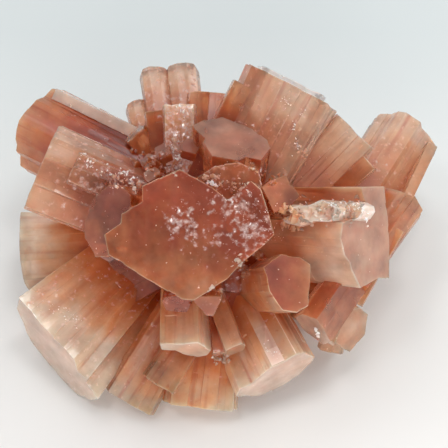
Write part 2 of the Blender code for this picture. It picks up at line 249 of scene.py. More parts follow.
@dataclass
class Crystal:
    """One twinned prism, placed by the middle of its flat end, in the star's own axes and mm.

    heading turns in the star's XY plane from +X, lift rises from there towards +Z, in degrees.
    width lies in the XY plane and depth towards +Z for a crystal with no lift. flare is the
    root's size as a share of the end's, drawn towards the place flare_at on the end. step is how
    deep its sunken coarse lamellae lie, rib_width is the fine ones' width and relief a factor on
    how far they stand out. unevenness is how high the end's surface swells, and mesh_step the
    spacing of its mesh. rough_spots lie on the end, each by its middle, radius and strength, and
    rim is its worn rim, in steps of a distance from the end and how far it is drawn in there.
    """

    name: str
    tip: Place
    heading: float
    lift: float
    length: float
    width: float = 0.0
    depth: float = 0.0
    corners: Twin = Twin.FLAT
    outline: tuple[Point, ...] = ()
    flare: float = 0.88
    flare_at: Point = (0.0, 0.0)
    step: float = 0.28
    look: Look = field(default_factory=Look)
    rib_width: float = 1.1
    relief: float = 0.6
    unevenness: float = 0.06
    mesh_step: float = 0.6
    rough_spots: tuple[tuple[float, float, float, float], ...] = ()
    rim: tuple[Point, ...] = ((0.13, 0.0), (0.0, 0.10))

    # Coarse lamellae, which the solid has too: how corners and breaks stray, and how deep they lie
    swell: Point = (0.95, 1.04)
    coarse_rib: float = 2.4
    coarse_stray: float = 0.2
    shortest_ribbed_side: float = 3.0
    step_share: Point = (0.6, 1.0)
    # Fine lamellae: the wear at corners, the grooves between them, and their depths
    fine_stray: float = 0.38
    edge_wear: float = 0.06
    wear_share: float = 0.2
    groove: float = 0.015
    corner_shift: float = 0.8
    sinks: tuple[float, ...] = (0.0, 0.0, 0.02, 0.045, 0.08)
    single_sink: float = 0.02
    # Growth layers that stop on the sides: where, how often, and how high their ledges are
    layers: int = 4
    first_layer: float = 0.8
    layered: float = 0.62
    layer_stray: float = 0.75
    ledge_chance: float = 0.5
    ledge: Point = (0.03, 0.14)
    step_height: float = 0.05
    # Gentle waves on the sides, and chips in the rim by size, least wave and kind
    seeds: float = 100.0
    wave_size: Point = (4.0, 5.0)
    wave_depth: float = 0.08
    chips: tuple[Place, ...] = ((0.8, 0.15, 3.0), (3.0, 0.1, 7.0))
    chip_depth: float = 0.35
    # Swells, flat growth layers and roughness on the end, the last two with a seed of their own
    swell_size: float = 3.5
    terrace_size: float = 5.0
    terrace_seed: float = 9.0
    terraces: float = 2.5
    terrace_height: float = 0.4
    rough_size: float = 0.55
    rough_seed: float = 5.0
    rough_height: float = 1.3
    end_frost: float = 0.5
    spot_falloff: float = 0.7
    # How the look spreads, how closely a side must face the painted sheen and how much that
    # whitens it, and where the end's own map lies
    drop_length: float = 12.0
    sheen_facing: float = 0.97
    painted_sheen_haze: float = 2.0
    end_map: float = -40.0

    @cached_property
    def axes(self) -> tuple[Vector, Vector, Vector]:
        """The crystal's own axes in the star.

        Returns:
            Unit vectors across its end, along its end, and out of its end.
        """
        heading, lift = math.radians(self.heading), math.radians(self.lift)
        flat = math.cos(lift)
        out = Vector((math.cos(heading) * flat, math.sin(heading) * flat, math.sin(lift)))
        across = Vector((-math.sin(heading), math.cos(heading), 0.0))
        return across, out.cross(across), out

    def local(self, point: Vector) -> Place:
        """Finds where a point of the star lies on the crystal.

        Args:
            point: the point, in mm.

        Returns:
            How far it lies across and along the end from its middle, and in from it, in mm.
        """
        place = point - Vector(self.tip)
        across, along, out = self.axes
        return place.dot(across), place.dot(along), -place.dot(out)

    def end_outline(self) -> list[Vector]:
        """The end's outline with its coarse lamellae, as the solid part has it.

        Returns:
            Points across and along the end, in mm, counter-clockwise.
        """
        if self.outline:
            points = [Vector(point) for point in self.outline]
        else:
            points = self.twin_outline()
        turn = sum(a.x * b.y - b.x * a.y for a, b in zip(points, points[1:] + points[:1]))
        return points if turn > 0 else points[::-1]

    def twin_outline(self) -> list[Vector]:
        """The end of a twin, whose longer sides carry raised and sunken lamellae.

        Returns:
            Points across and along the end, in mm.
        """
        chance = random.Random(self.name)
        corners = []
        for across, along in self.corners.value:
            swell = chance.uniform(*self.swell)
            corners.append(Vector((across * self.width * swell, along * self.depth * swell)))
        points = []
        for here, there in zip(corners, corners[1:] + corners[:1]):
            side = there - here
            if side.length < self.shortest_ribbed_side:
                points.append(here)
                continue
            inwards = Vector((-side.y, side.x)).normalized()
            count = max(2, round(side.length / self.coarse_rib))
            breaks = self.breaks(chance, count, self.coarse_stray)
            sunk = chance.random() < 0.5
            for start, end in zip(breaks, breaks[1:]):
                sink = inwards * (self.step * chance.uniform(*self.step_share) if sunk else 0.0)
                points.append(here + side * start + sink)
                if end < 1.0:
                    points.append(here + side * end + sink)
                sunk = not sunk
        return points

    @staticmethod
    def breaks(chance: random.Random, count: int, stray: float) -> list[float]:
        """Splits a side into uneven parts.

        Args:
            chance: random numbers.
            count: how many parts.
            stray: how far a break strays from its even place, as a share of a part.

        Returns:
            The breaks as shares of the side, from 0 to 1 with both.
        """
        inner = [(index + chance.uniform(-stray, stray)) / count for index in range(1, count)]
        return [0.0, *inner, 1.0]

    def levels(self, chance: random.Random) -> list[float]:
        """Finds where growth layers stop.

        Args:
            chance: the crystal's own random numbers.

        Returns:
            Distances from the end in mm, the nearest first.
        """
        first = self.rim[0][0] + self.first_layer
        gap = (self.length * self.layered - first) / self.layers
        stray = self.layer_stray
        return [first + gap * (index + chance.uniform(0.0, stray)) for index in range(self.layers)]

    def ribs(self, chance: random.Random, levels: list[float]) -> list[RibEdge]:
        """Splits the outline's sides into fine lamellae.

        Args:
            chance: the crystal's own random numbers.
            levels: distances from the end at which growth layers stop.

        Returns:
            The lamellae's long edges in order round the end, two for each lamella.
        """
        corners = self.end_outline()
        edges = []
        reach = 0.0
        for here, there in zip(corners, corners[1:] + corners[:1]):
            length = (there - here).length
            along = (there - here) / length
            inwards = Vector((-along.y, along.x))
            wear = min(self.edge_wear, length * self.wear_share)
            usable = length - 2 * wear
            count = max(1, round(usable / self.rib_width))
            breaks = self.breaks(chance, count, self.fine_stray)
            for start, end in zip(breaks, breaks[1:]):
                sink = chance.choice(self.sinks) * self.relief
                sink = sink if count > 1 else min(sink, self.single_sink)
                drops = []
                for level in levels if count > 1 else ():
                    if chance.random() < self.ledge_chance / len(levels):
                        drops.append((level, chance.uniform(*self.ledge) * self.relief))
                for share, sign in ((start, 1.0), (end, -1.0)):
                    at_corner = share in (0.0, 1.0)
                    way = wear + usable * share + (0.0 if at_corner else sign * self.groove)
                    aside = along * (self.corner_shift * sign if at_corner else 0.0)
                    edges.append(
                        RibEdge(here + along * way, inwards, aside, reach + way, sink, tuple(drops))
                    )
            reach += length
        return edges

    def rings(self, levels: list[float]) -> list[Point]:
        """Finds where rings of vertices lie, after the one at the root.

        Args:
            levels: distances from the end at which growth layers stop.

        Returns:
            Each ring's distance from the end and how far it is drawn in, in mm.
        """
        found = []
        for level in reversed(levels):
            found += [(level + self.step_height, 0.0), (level - self.step_height, 0.0)]
        return found + list(self.rim)

    def build(self) -> bmesh.types.BMesh:
        """The closed prism in the star's axes and mm, with its map and looks.

        Returns:
            A mesh with the layers of look_mesh().
        """
        chance = random.Random(self.name + " ribs")
        levels = self.levels(chance)
        edges = self.ribs(chance, levels)
        seed = chance.uniform(0.0, self.seeds)
        bm = bmesh.new()
        number = bm.verts.layers.int.new("number")
        cap = bm.faces.layers.float.new("cap")
        root = [bm.verts.new() for _ in edges]
        for index, vert in enumerate(root):
            vert[number] = index
        end = bm.faces.new(root)
        self.place_ring(end.verts, number, edges, (self.length, 0.0), seed)
        for ring in self.rings(levels):
            end = self.raise_end(bm, end)
            self.place_ring(end.verts, number, edges, ring, seed)
        self.map_sides(bm, number, edges)
        end[cap] = self.look.end_mark()
        self.finish_end(bm, cap, seed)
        bmesh.ops.triangulate(bm, faces=bm.faces)
        bmesh.ops.recalc_face_normals(bm, faces=bm.faces)
        self.write_look(bm, cap, seed)
        return bm

    @staticmethod
    def raise_end(bm: bmesh.types.BMesh, end: bmesh.types.BMFace) -> bmesh.types.BMFace:
        """Extrudes the end face.

        Args:
            bm: the crystal's mesh.
            end: the face, which goes unless it is the only one and becomes the root.

        Returns:
            The new end face.
        """
        first = len(bm.faces) == 1
        made = bmesh.ops.extrude_face_region(bm, geom=[end])["geom"]
        if not first and end.is_valid:
            bmesh.ops.delete(bm, geom=[end], context="FACES_ONLY")
        return next(part for part in made if isinstance(part, bmesh.types.BMFace))

    def place_ring(
        self,
        verts: bmesh.types.BMVertSeq,
        number: bmesh.types.BMLayerItem,
        edges: list[RibEdge],
        ring: Point,
        seed: float,
    ) -> None:
        """Puts the end face's vertices at their distance from the tip.

        Args:
            verts: the end face's vertices.
            number: the layer that says which long edge a vertex belongs to.
            edges: the lamellae's long edges.
            ring: the ring's distance from the end, and how far it is drawn in.
            seed: sets this crystal's unevenness apart from the others'.
        """
        distance, inset = ring
        across, along, out = self.axes
        tip = Vector(self.tip)
        taper = 1 + (self.flare - 1) * distance / self.length
        radius = sum(edge.place.length for edge in edges) / len(edges)
        middle = Vector(self.flare_at)
        chips = self.chips if distance <= self.rim[0][0] else ()
        for vert in verts:
            edge = edges[vert[number]]
            wave = self.wave(edge.reach / self.wave_size[0], distance / self.wave_size[1], seed)
            point = edge.point(distance, max(0.0, wave) * self.wave_depth) * (1 - inset / radius)
            point = middle + (point - middle) * taper
            chip = 0.0
            for size, least, kind in chips:
                chip += max(0.0, self.wave(edge.reach / size, seed, kind) - least) * self.chip_depth
            vert.co = tip - out * (distance + chip) + across * point.x + along * point.y

    @staticmethod
    def wave(a: float, b: float, c: float) -> float:
        """Smooth noise at a place, about from -1 to 1."""
        return noise.noise(Vector((a, b, c)))

    def map_sides(
        self, bm: bmesh.types.BMesh, number: bmesh.types.BMLayerItem, edges: list[RibEdge]
    ) -> None:
        """Lays the map on the sides: along the outline, and away from the end, in mm.

        Args:
            bm: the crystal's mesh.
            number: the layer that says which long edge a vertex belongs to.
            edges: the lamellae's long edges.
        """
        grain = bm.loops.layers.uv.new("grain")
        whole = edges[-1].reach + 2 * self.edge_wear
        for face in bm.faces:
            numbers = [loop.vert[number] for loop in face.loops]
            closing = max(numbers) == len(edges) - 1 and min(numbers) == 0
            for loop in face.loops:
                index = loop.vert[number]
                reach = edges[index].reach + (whole if closing and index == 0 else 0.0)
                loop[grain].uv = (reach, self.local(loop.vert.co)[2])

    def finish_end(
        self, bm: bmesh.types.BMesh, cap: bmesh.types.BMLayerItem, seed: float
    ) -> None:
        """Cuts the end face into a fine mesh and gives it the real one's gentle unevenness.

        Args:
            bm: the crystal's mesh.
            cap: the layer that marks the end's faces.
            seed: sets this crystal's unevenness apart from the others'.
        """
        across, along, out = self.axes
        points = self.end_outline()
        for axis, values in ((across, [p.x for p in points]), (along, [p.y for p in points])):
            low, high = min(values), max(values)
            count = round((high - low) / self.mesh_step)
            for index in range(1, count):
                faces = [face for face in bm.faces if face[cap]]
                parts = {part for face in faces for part in (*face.edges, *face.verts, face)}
                bmesh.ops.bisect_plane(
                    bm,
                    geom=list(parts),
                    dist=0.001,
                    plane_co=Vector(self.tip) + axis * (low + (high - low) * index / count),
                    plane_no=axis,
                )
        for vert in bm.verts:
            if all(face[cap] for face in vert.link_faces):
                a, b, _ = self.local(vert.co)
                vert.co += out * self.end_height(a, b, seed)

    def end_height(self, a: float, b: float, seed: float) -> float:
        """Finds how high the end's surface lies at a place on it.

        Args:
            a: the way across the end, in mm.
            b: the way along it, in mm.
            seed: sets this crystal's unevenness apart from the others'.

        Returns:
            The height in mm.
        """
        broad = self.wave(a / self.swell_size, b / self.swell_size, seed)
        layer = self.wave(a / self.terrace_size, b / self.terrace_size, seed + self.terrace_seed)
        layer = math.floor(self.terraces * layer) * self.terrace_height
        rough = self.wave(a / self.rough_size, b / self.rough_size, seed + self.rough_seed)
        rough *= self.frost_at(a, b)
        return self.unevenness * (broad + layer + self.rough_height * rough)

    def frost_at(self, a: float, b: float) -> float:
        """Finds how rough and sparkling the end is at a place on it.

        Args:
            a: the way across the end, in mm.
            b: the way along it, in mm.

        Returns:
            A share of 1.
        """
        found = self.look.frost * self.end_frost
        for middle_a, middle_b, radius, strength in self.rough_spots:
            away = math.hypot(a - middle_a, b - middle_b) / radius
            found = max(found, strength * max(0.0, 1 - away) ** self.spot_falloff)
        return found

    def painted_sheen_at(self, face: bmesh.types.BMFace) -> float:
        """Finds how much lighter a face is at the crystal's end, by a painted sheen of the room's light.

        Args:
            face: the face.

        Returns:
            The look's painted sheen where the face lies and points as the look says, or else 0.
        """
        lies = self.local(face.calc_center_median())[0] > self.look.painted_sheen_from
        faces = face.normal.dot(Vector(self.look.painted_sheen_side).normalized()) > self.sheen_facing
        return self.look.painted_sheen if lies and faces else 0.0

    def write_look(
        self, bm: bmesh.types.BMesh, cap: bmesh.types.BMLayerItem, seed: float
    ) -> None:
        """Writes tone, stain, frost and clearness into the layer "look", and the end's map.

        Args:
            bm: the crystal's mesh.
            cap: the layer that marks the end's faces, and takes the sides' haze and painted sheen.
            seed: sets the map of this crystal's end apart from the others'.
        """
        grain = bm.loops.layers.uv["grain"]
        layer = bm.loops.layers.float_color.new("look")
        look = self.look
        for face in bm.faces:
            painted_sheen = self.painted_sheen_at(face)
            for loop in face.loops:
                a, b, inwards = self.local(loop.vert.co)
                if face[cap]:
                    loop[grain].uv = (a + seed, b + self.end_map)
                    frost = self.frost_at(a, b)
                    tone = look.end + Vector(look.fade).dot((a, b))
                else:
                    frost = look.frost
                    tone = look.tone - look.drop * min(1.0, inwards / self.drop_length)
                    tone += look.side_fade * a
                    # Painted sheen: sides that face the sheen's direction are lighter towards the end
                    tone += painted_sheen * max(0.0, 1.0 - inwards / look.painted_sheen_length)
                loop[layer] = (tone, look.stain, frost, look.clear)
            if not face[cap]:
                # The sides' haze, with the painted sheen's whitening, goes into the layer "cap"
                inwards = self.local(face.calc_center_median())[2]
                fading = max(0.0, 1 - inwards / look.painted_sheen_length)
                face[cap] = -look.haze_and_sheen - self.painted_sheen_haze * painted_sheen * fading


# Ends of the larger crystals: points across and along the end, from its middle, in mm
FRONT_END = (
    (-1.3, 8.5), (0.5, 7.6), (2.8, 6.2), (4.8, 4.6), (7.2, 6.2), (7.9, 7.0),
    (9.2, 5.9), (10.1, 3.2), (11.0, 0.0), (9.4, -1.5), (7.0, -3.4), (4.9, -5.8),
    (0.5, -8.5), (-1.0, -8.4), (-5.5, -5.8), (-10.6, -2.6), (-11.1, 0.0), (-9.0, 1.5),
    (-8.9, 2.8), (-6.2, 4.3), (-6.2, 6.4), (-2.6, 8.0),
)
FRONT_SHOULDER_END = (
    (-4.0, 0.8), (-1.5, 2.4), (1.5, 2.8), (4.2, 1.6), (4.8, -0.4), (3.4, -2.4),
    (-1.0, -3.0), (-3.8, -1.8),
)
DARK_END = (
    (-4.7, 0.4), (-4.5, 2.2), (-3.2, 3.8), (0.0, 4.3), (4.0, 2.4), (5.2, 0.0),
    (5.2, -1.9), (2.8, -3.5), (0.4, -3.6), (-2.8, -2.1),
)
TOP_FACET_END = (
    (6.0, -1.8), (4.5, -3.2), (2.0, -4.1), (-2.5, -2.1), (-4.5, -0.2), (-5.0, 1.5),
    (-3.9, 3.8), (-1.6, 3.6), (-0.7, 4.4), (2.9, 3.9), (4.3, 1.3), (4.1, 0.5),
    (5.6, -1.0),
)
LOW_FACET_END = (
    (3.2, 2.9), (4.2, 0.1), (3.2, -2.5), (1.8, -3.8), (-3.6, -1.9), (-4.1, -0.2),
    (-3.2, 1.9), (-0.2, 3.0),
)
LEFT_END = (
    (-5.8, -1.7), (-3.9, -0.7), (-1.0, 0.2), (1.5, 0.3), (4.1, -0.5), (5.7, -2.4),
    (5.2, -6.5), (0.5, -8.0), (-5.2, -6.8),
)
UPPER_LEFT_END = (
    (-6.1, 1.8), (-4.4, 4.5), (-1.4, 5.0), (-1.2, 4.6), (2.6, 4.6), (2.8, 4.2),
    (6.0, 4.0), (6.5, 1.0), (5.6, -4.6), (-1.0, -5.4), (-6.4, -3.8),
)
BACK_LEFT_END = (
    (-6.9, -3.6), (-6.1, -0.2), (-4.3, 1.0), (-3.5, 2.3), (-0.9, 3.6), (0.3, 3.9),
    (1.6, 3.4), (3.0, 2.4), (4.4, 1.1), (5.1, -1.1), (6.2, -2.2), (6.5, -4.5),
    (4.8, -6.6), (-5.0, -6.4),
)
LOWER_LEFT_END = (
    (-8.6, 0.2), (-2.5, 0.9), (0.8, 2.0), (3.0, 2.6), (4.7, 1.0), (6.5, 1.9),
    (6.8, 0.6), (8.6, 0.4), (9.7, 0.2), (9.4, -1.8), (7.7, -5.2), (5.3, -6.3),
    (0.0, -7.6), (-3.0, -7.3), (-5.4, -5.4), (-7.6, -3.5),
)
LOWER_RIGHT_END = (
    (-6.2, 0.0), (-5.2, 1.8), (-3.5, 2.0), (-1.0, 3.8), (0.2, 4.3), (2.1, 4.1),
    (4.0, 4.5), (5.1, 3.4), (6.2, 0.0), (5.6, -1.3), (3.1, -3.7), (0.6, -4.7),
    (-3.0, -4.5), (-4.6, -2.6),
)
RIGHT_END = (
    (6.9, -3.9), (4.1, -4.7), (1.5, -5.8), (-5.8, -6.5), (-5.8, -3.6), (-7.2, 0.8),
    (-6.0, 2.2), (-3.7, 3.9), (-2.7, 5.2), (-0.7, 6.4), (1.6, 6.1), (2.5, 1.8),
    (4.6, 0.7), (6.6, 1.9),
)
FAR_RIGHT_END = (
    (3.4, -1.2), (1.2, 0.8), (-0.8, 2.5), (-1.8, 1.7), (-3.1, 0.3), (-3.6, -2.2),
    (-1.0, -4.6), (2.8, -4.2),
)
UPPER_RIGHT_END = (
    (5.1, -6.9), (4.7, -4.0), (3.3, -1.8), (2.9, 0.0), (1.8, 1.1), (-0.8, 1.1),
    (-1.4, -0.1), (-3.3, -1.3), (-5.2, -2.6), (-5.6, -5.4), (-2.0, -7.6), (3.2, -8.2),
)
WEDGE_END = (
    (-1.8, 1.2), (-1.4, 0.5), (-0.1, -1.2), (0.9, -1.3), (1.4, -0.3), (2.0, 1.2),
    (2.0, 1.9), (-1.7, 1.9),
)
LOWER_SMALL_END = (
    (-3.6, 2.6), (-3.5, 0.8), (-1.8, 0.3), (-0.2, -1.5), (1.4, -2.6), (2.8, -2.0),
    (3.4, -0.2), (1.8, 2.6),
)
RIGHT_FOOT_END = (
    (2.4, -0.9), (2.3, 0.6), (0.3, 2.3), (-2.3, 0.9), (-2.5, -1.3), (-0.2, -2.4),
)
FOOT_UPPER_END = (
    (2.5, -3.7), (-0.9, -4.0), (-3.2, -1.9), (-2.7, 0.3), (-1.6, 1.5), (-0.7, 2.2),
    (1.1, 0.7), (3.0, -1.1),
)
FOOT_SIDE_END = (
    (3.2, 0.8), (2.9, -1.5), (0.0, -2.7), (-3.2, -1.6), (-3.0, 1.9), (1.6, 2.8),
)
CRUST_END = (
    (-1.2, -2.4), (-1.2, 0.1), (-2.0, 2.3), (-1.6, 3.5), (-1.0, 4.6), (0.8, 4.4),
    (1.0, 3.1), (1.1, 1.0), (1.8, -1.1), (1.5, -3.2), (0.9, -4.1), (0.2, -2.4),
    (-0.5, -3.2),
)
CRUST_TIP_END = (
    (-1.1, -3.1), (-1.1, -0.4), (-1.5, 2.1), (-1.0, 3.2), (-0.3, 3.4), (0.7, 2.7),
    (1.3, 1.4), (1.1, -0.4), (1.2, -3.1),
)
# Worn rim of a rounded end
DOME = ((1.2, 0.0), (0.7, 0.12), (0.36, 0.3), (0.14, 0.55), (0.0, 0.95))

CRYSTALS = (
    # Crystals that point up and forwards
    Crystal("front", (-4.4, -1.4, 21.8), -90, 90, 24, outline=FRONT_END, flare=0.72,
            look=Look(0.40, 0.4, 0.0, 0.42, 0.1, 0.05, 0.0, (-0.008, -0.022)),
            mesh_step=0.32, unevenness=0.07,
            rough_spots=((-0.9, 1.7, 3.2, 0.95), (2.0, -0.6, 5.5, 0.55),
                         (5.6, 3.6, 4.5, 0.85), (7.8, 0.6, 4.5, 0.85))),
    Crystal("front_shoulder", (0.4, 5.4, 17.0), -90, 88, 18, outline=FRONT_SHOULDER_END,
            flare=0.8, look=Look(0.40, 0.4, 0.75, 0.5, 0.1, 0.34), unevenness=0.16, mesh_step=0.4),
    Crystal("dark_side", (-15.8, 0.7, 13.0), 180, 62, 17, outline=DARK_END, flare=0.8,
            look=Look(0.34, 0.4, 0.1, 0.5, 0.3, 0.20), mesh_step=0.5),
    Crystal("top_facet", (1.5, 11.7, 9.0), 85, 47, 17, outline=TOP_FACET_END, flare=0.8,
            look=Look(0.45, 0.3, 0.1, 0.5, 0.8, 0.62), mesh_step=0.5, unevenness=0.04),
    Crystal("low_facet", (8.7, -8.0, 14.0), 15, 72, 17, outline=LOW_FACET_END, flare=0.9,
            look=Look(0.86, 0.9, 0.0, 0.3, 0.0, 0.36, fade=(0.0, -0.02)), mesh_step=0.45),
    Crystal("small_hexagon", (7.6, 4.2, 11.0), 30, 72, 12, 4.8, 4.4,
            look=Look(0.5, 0.3, 0.2, 0.5, 0.1, 0.56)),
    Crystal("wedge", (-2.3, -11.2, 15.0), -90, 62, 12, outline=WEDGE_END,
            look=Look(0.5, 0.6, 0.3, 0.5, 0.0, 0.32)),
    Crystal("stub", (-6.4, -10.8, 12.0), -95, 50, 10, 4.2, 3.0, Twin.ROUND,
            look=Look(0.4, 0.4, 0.4, 0.6, 0.0, 0.24)),
    # Crystals on the left
    Crystal("upper_left", (-25.4, 8.1, 3.0), 157, 3, 25, outline=UPPER_LEFT_END,
            look=Look(0.43, 0.1, 0.3, 0.4, side_fade=-0.02, haze_and_sheen=0.6)),
    Crystal("upper_left_layer", (-20.8, 7.8, 6.6), 157, 3, 16, 5.0, 4.6,
            look=Look(0.38, 0.1, 0.55, 0.5, haze_and_sheen=0.6), relief=1.6),
    Crystal("back_left", (-27.9, 14.4, -7.0), 153, -24, 27, outline=BACK_LEFT_END,
            look=Look(0.30, 1.0, 0.0, 0.3, drop=0.56), relief=0.9),
    # A thin layer whose whitening is a painted sheen along back_left's upper side
    Crystal("back_left_layer", (-23.9, 18.5, -7.8), 153.5, -24, 20, 2.1, 4.4, step=0.0,
            look=Look(0.84, 0.0, 0.1, 0.6, haze_and_sheen=1.7)),
    Crystal("left", (-29.5, -4.0, -5.5), 184, -9, 27, outline=LEFT_END, flare=0.6,
            look=Look(0.84, 0.4, 0.0, 0.3, drop=0.64)),
    Crystal("lower_left", (-23.7, -17.1, 2.0), 217.3, 26, 25, outline=LOWER_LEFT_END, flare=0.62,
            flare_at=(-8.0, 0.0), mesh_step=0.5, rib_width=1.2,
            look=Look(0.84, 0.3, 0.3, 0.2, 1.0, 0.70, 0.34, side_fade=0.016)),
    # Crystals at the front foot
    Crystal("left_foot", (-13.4, -25.2, -1.0), 240, -3, 22, 8.4, 5.0, flare=0.75,
            look=Look(0.50, 0.7, 0.25, 0.35)),
    Crystal("left_foot_small", (-9.2, -22.6, 3.0), 238, 4, 16, 5.4, 4.0, flare=0.75,
            look=Look(0.5, 0.9, 0.2, 0.4)),
    Crystal("middle_foot", (-3.4, -25.7, -1.0), 263, -3, 22, 11.0, 7.0, flare=0.7,
            look=Look(0.45, 0.4, 0.1, 0.15)),
    # lower_right's upper side carries a painted sheen near its end
    Crystal("lower_right", (7.2, -21.3, 4.0), 296.6, 25, 24, outline=LOWER_RIGHT_END, flare=0.78,
            relief=1.2, rib_width=1.4, mesh_step=0.5,
            look=Look(0.70, 0.6, 0.2, 0.2, 1.0, 0.68, side_fade=0.015, painted_sheen=1.2,
                      painted_sheen_side=(-0.11, 0.45, 0.88), painted_sheen_length=9.0, painted_sheen_from=-1.0)),
    Crystal("lower_small", (-5.1, -17.4, 8.0), 272, 25, 15, outline=LOWER_SMALL_END,
            look=Look(0.86, 0.5, 0.1, 0.2, 1.0, 0.72, side_fade=0.06)),
    Crystal("lower_middle", (-0.4, -18.0, 6.4), 276, 14, 14, 2.8, 3.4),
    Crystal("lower_right_rib", (1.6, -17.3, 8.2), 291, 20, 12, 3.0, 3.0,
            look=Look(0.85, 0.3, 0.2, 0.4, 0.6, 0.6)),
    # Crystals on the right
    Crystal("right", (19.4, -1.6, 10.0), -3, 37, 25, outline=RIGHT_END,
            mesh_step=0.45,
            look=Look(0.76, 0.15, 0.0, 0.35, 0.9, 0.38, -0.2, side_fade=-0.03, haze_and_sheen=0.3)),
    Crystal("crust", (11.1, 1.4, 12.4), 177, 53, 6, outline=CRUST_END, flare=1.0,
            look=Look(1.15, 0.0, 0.5, 0.1, 0.8, 1.1, haze_and_sheen=0.8), unevenness=1.0, mesh_step=0.3),
    Crystal("crust_tip", (15.9, 1.6, 11.6), 177, 53, 3, outline=CRUST_TIP_END, flare=1.0,
            look=Look(1.35, 0.0, 0.6, 0.2, 0.9, 1.2, haze_and_sheen=1.4), unevenness=1.0, mesh_step=0.3),
    Crystal("right_foot", (13.5, -16.2, -1.0), 240, 4, 20, outline=RIGHT_FOOT_END,
            look=Look(0.8, 0.2, 0.1, 0.3, haze_and_sheen=0.6)),
    Crystal("right_foot_short", (11.6, -12.6, -2.5), 238, 0, 14, 5.4, 5.0),
    Crystal("right_foot_side", (18.2, -14.8, 1.0), -28, 50, 15, outline=FOOT_SIDE_END,
            look=Look(0.7, 0.3, 0.1, 0.35, 0.4, 0.44)),
    Crystal("right_foot_sliver", (18.2, -11.0, 3.0), 240, 0, 12, 2.6, 3.0),
    Crystal("right_foot_under", (15.3, -18.3, -5.0), 255, -5, 16, 4.0, 4.0),
    Crystal("far_right", (25.6, 3.7, 0.0), 53.7, -24, 15, outline=FAR_RIGHT_END,
            look=Look(0.34, 0.8, 0.2), rib_width=1.2, relief=1.0),
    Crystal("right_foot_upper", (12.6, -14.0, 9.8), 233.7, 24, 12, outline=FOOT_UPPER_END,
            flare=1.0, look=Look(0.40, 0.5, 0.1, 0.5, 1.0, 0.74, haze_and_sheen=0.3), relief=1.0),
    Crystal("upper_right", (27.9, 15.0, -9.0), 56, -21, 26, outline=UPPER_RIGHT_END,
            rib_width=1.0, relief=1.1, look=Look(0.52, 0.6, 0.3, 0.4, drop=0.24, haze_and_sheen=0.5)),
    Crystal("upper_right_fin", (30.1, 11.0, -9.4), 63, -21, 20, 2.0, 4.6, step=0.0),
    Crystal("upper_right_inner", (18.5, 13.1, 1.0), 46, 5, 22, 7.6, 5.0, step=0.18,
            look=Look(0.62, 0.3, 0.2, 0.45, haze_and_sheen=0.6), relief=0.4),
    Crystal("upper_right_low", (20.3, 9.0, 0.6), 42, 5, 18, 3.6, 4.4),
    # Crystals at the top
    Crystal("top_right", (9.4, 19.2, 2.0), 62.7, 0, 24, 15.0, 8.6, flare=0.8,
            look=Look(0.52, 0.7, 0.3, 0.5, drop=-0.40, side_fade=-0.04, haze_and_sheen=0.5), relief=0.4),
    Crystal("top_right_step", (2.7, 19.4, 3.2), 62.7, 0, 18, 3.4, 6.0, look=Look(0.5, 0.9)),
    Crystal("top_right_slab", (9.9, 20.4, -3.0), 64.5, 0, 22, 11.0, 4.4,
            look=Look(1.3, 0.0, 0.0, 1.2, haze_and_sheen=4.0)),
    Crystal("top_left", (-10.2, 22.2, -8.4), 99, -25, 26, 4.6, 5.6, Twin.ROUND,
            rim=DOME, look=Look(0.48, 0.6, 0.45, 0.5, haze_and_sheen=0.4)),
    Crystal("top_left_pair", (-6.2, 22.6, -8.4), 97, -25, 26, 5.2, 5.8, Twin.ROUND,
            rim=DOME, look=Look(0.56, 0.6, 0.45, 0.5, haze_and_sheen=0.4)),
    Crystal("top_left_low", (-12.7, 17.5, -8.4), 106, -20, 18, 4.0, 5.0, Twin.ROUND,
            rim=DOME, look=Look(0.50, 0.6, 0.4, 0.5, haze_and_sheen=0.4)),
    Crystal("top_middle", (-6.2, 16.6, 3.0), 91, -3, 18, 5.0, 4.4, look=Look(0.78, 0.4, 0.9, 0.3)),
    Crystal("top_middle_low", (-9.7, 15.8, 1.0), 97, -3, 16, 3.2, 4.0),
    Crystal("top_middle_back", (-2.2, 18.4, -2.4), 86, -8, 18, 6.4, 4.8),
    Crystal("small_left", (-12.6, 12.8, 2.0), 128, 15, 12, 3.6, 3.0),
    Crystal("small_top", (-4.6, 10.8, 6.4), 75, 58, 9, 2.6, 2.4),
    Crystal("small_recess", (-11.8, 10.4, 1.0), 140, 35, 9, 3.4, 3.0),
    Crystal("small_recess_low", (-13.4, 8.0, 4.4), 155, 40, 9, 3.0, 3.0),
    Crystal("recess_middle", (-10.5, 8.7, 6.4), 135, 50, 9, 2.4, 2.4),
    Crystal("recess_near", (-9.9, 6.8, 8.6), 120, 68, 10, 2.6, 1.8, look=Look(0.3, 0.2, 0.1)),
    Crystal("recess_far", (-8.6, 10.2, 5.4), 112, 48, 9, 2.4, 2.6),
    # Crystals behind and below, some of which the stone also stands on
    Crystal("rear_top", (0.5, 14.5, -13.0), 90, -36, 18, 9.5, 7.5),
    Crystal("rear_top_right", (9.0, 13.0, -14.0), 55, -40, 18, 9.0, 8.0),
    Crystal("rear_top_left", (-9.5, 13.0, -14.0), 124, -40, 18, 8.5, 7.5),
    Crystal("rear_right", (20.0, 1.0, -10.5), 4, -28, 20, 9.5, 8.0),
    Crystal("rear_left", (-20.0, 3.0, -12.0), 172, -32, 20, 10.5, 8.5),
    Crystal("under_left", (-17.0, -9.5, -8.7), 208, -28, 18, 8.6, 7.4),
    Crystal("under_front", (-1.5, -16.0, -9.0), 266, -30, 16, 8.0, 7.0),
    Crystal("under_right", (13.6, -11.4, -11.0), -36, -36, 18, 8.6, 7.6),
    Crystal("base_left", (-9.4, 2.6, -19.2), 165, -62, 17, 9.0, 8.0),
    Crystal("base_right", (8.4, 3.4, -19.6), 20, -64, 17, 8.8, 7.8),
    Crystal("base_middle", (-1.0, -7.0, -15.2), 262, -66, 12, 7.6, 6.8),
)


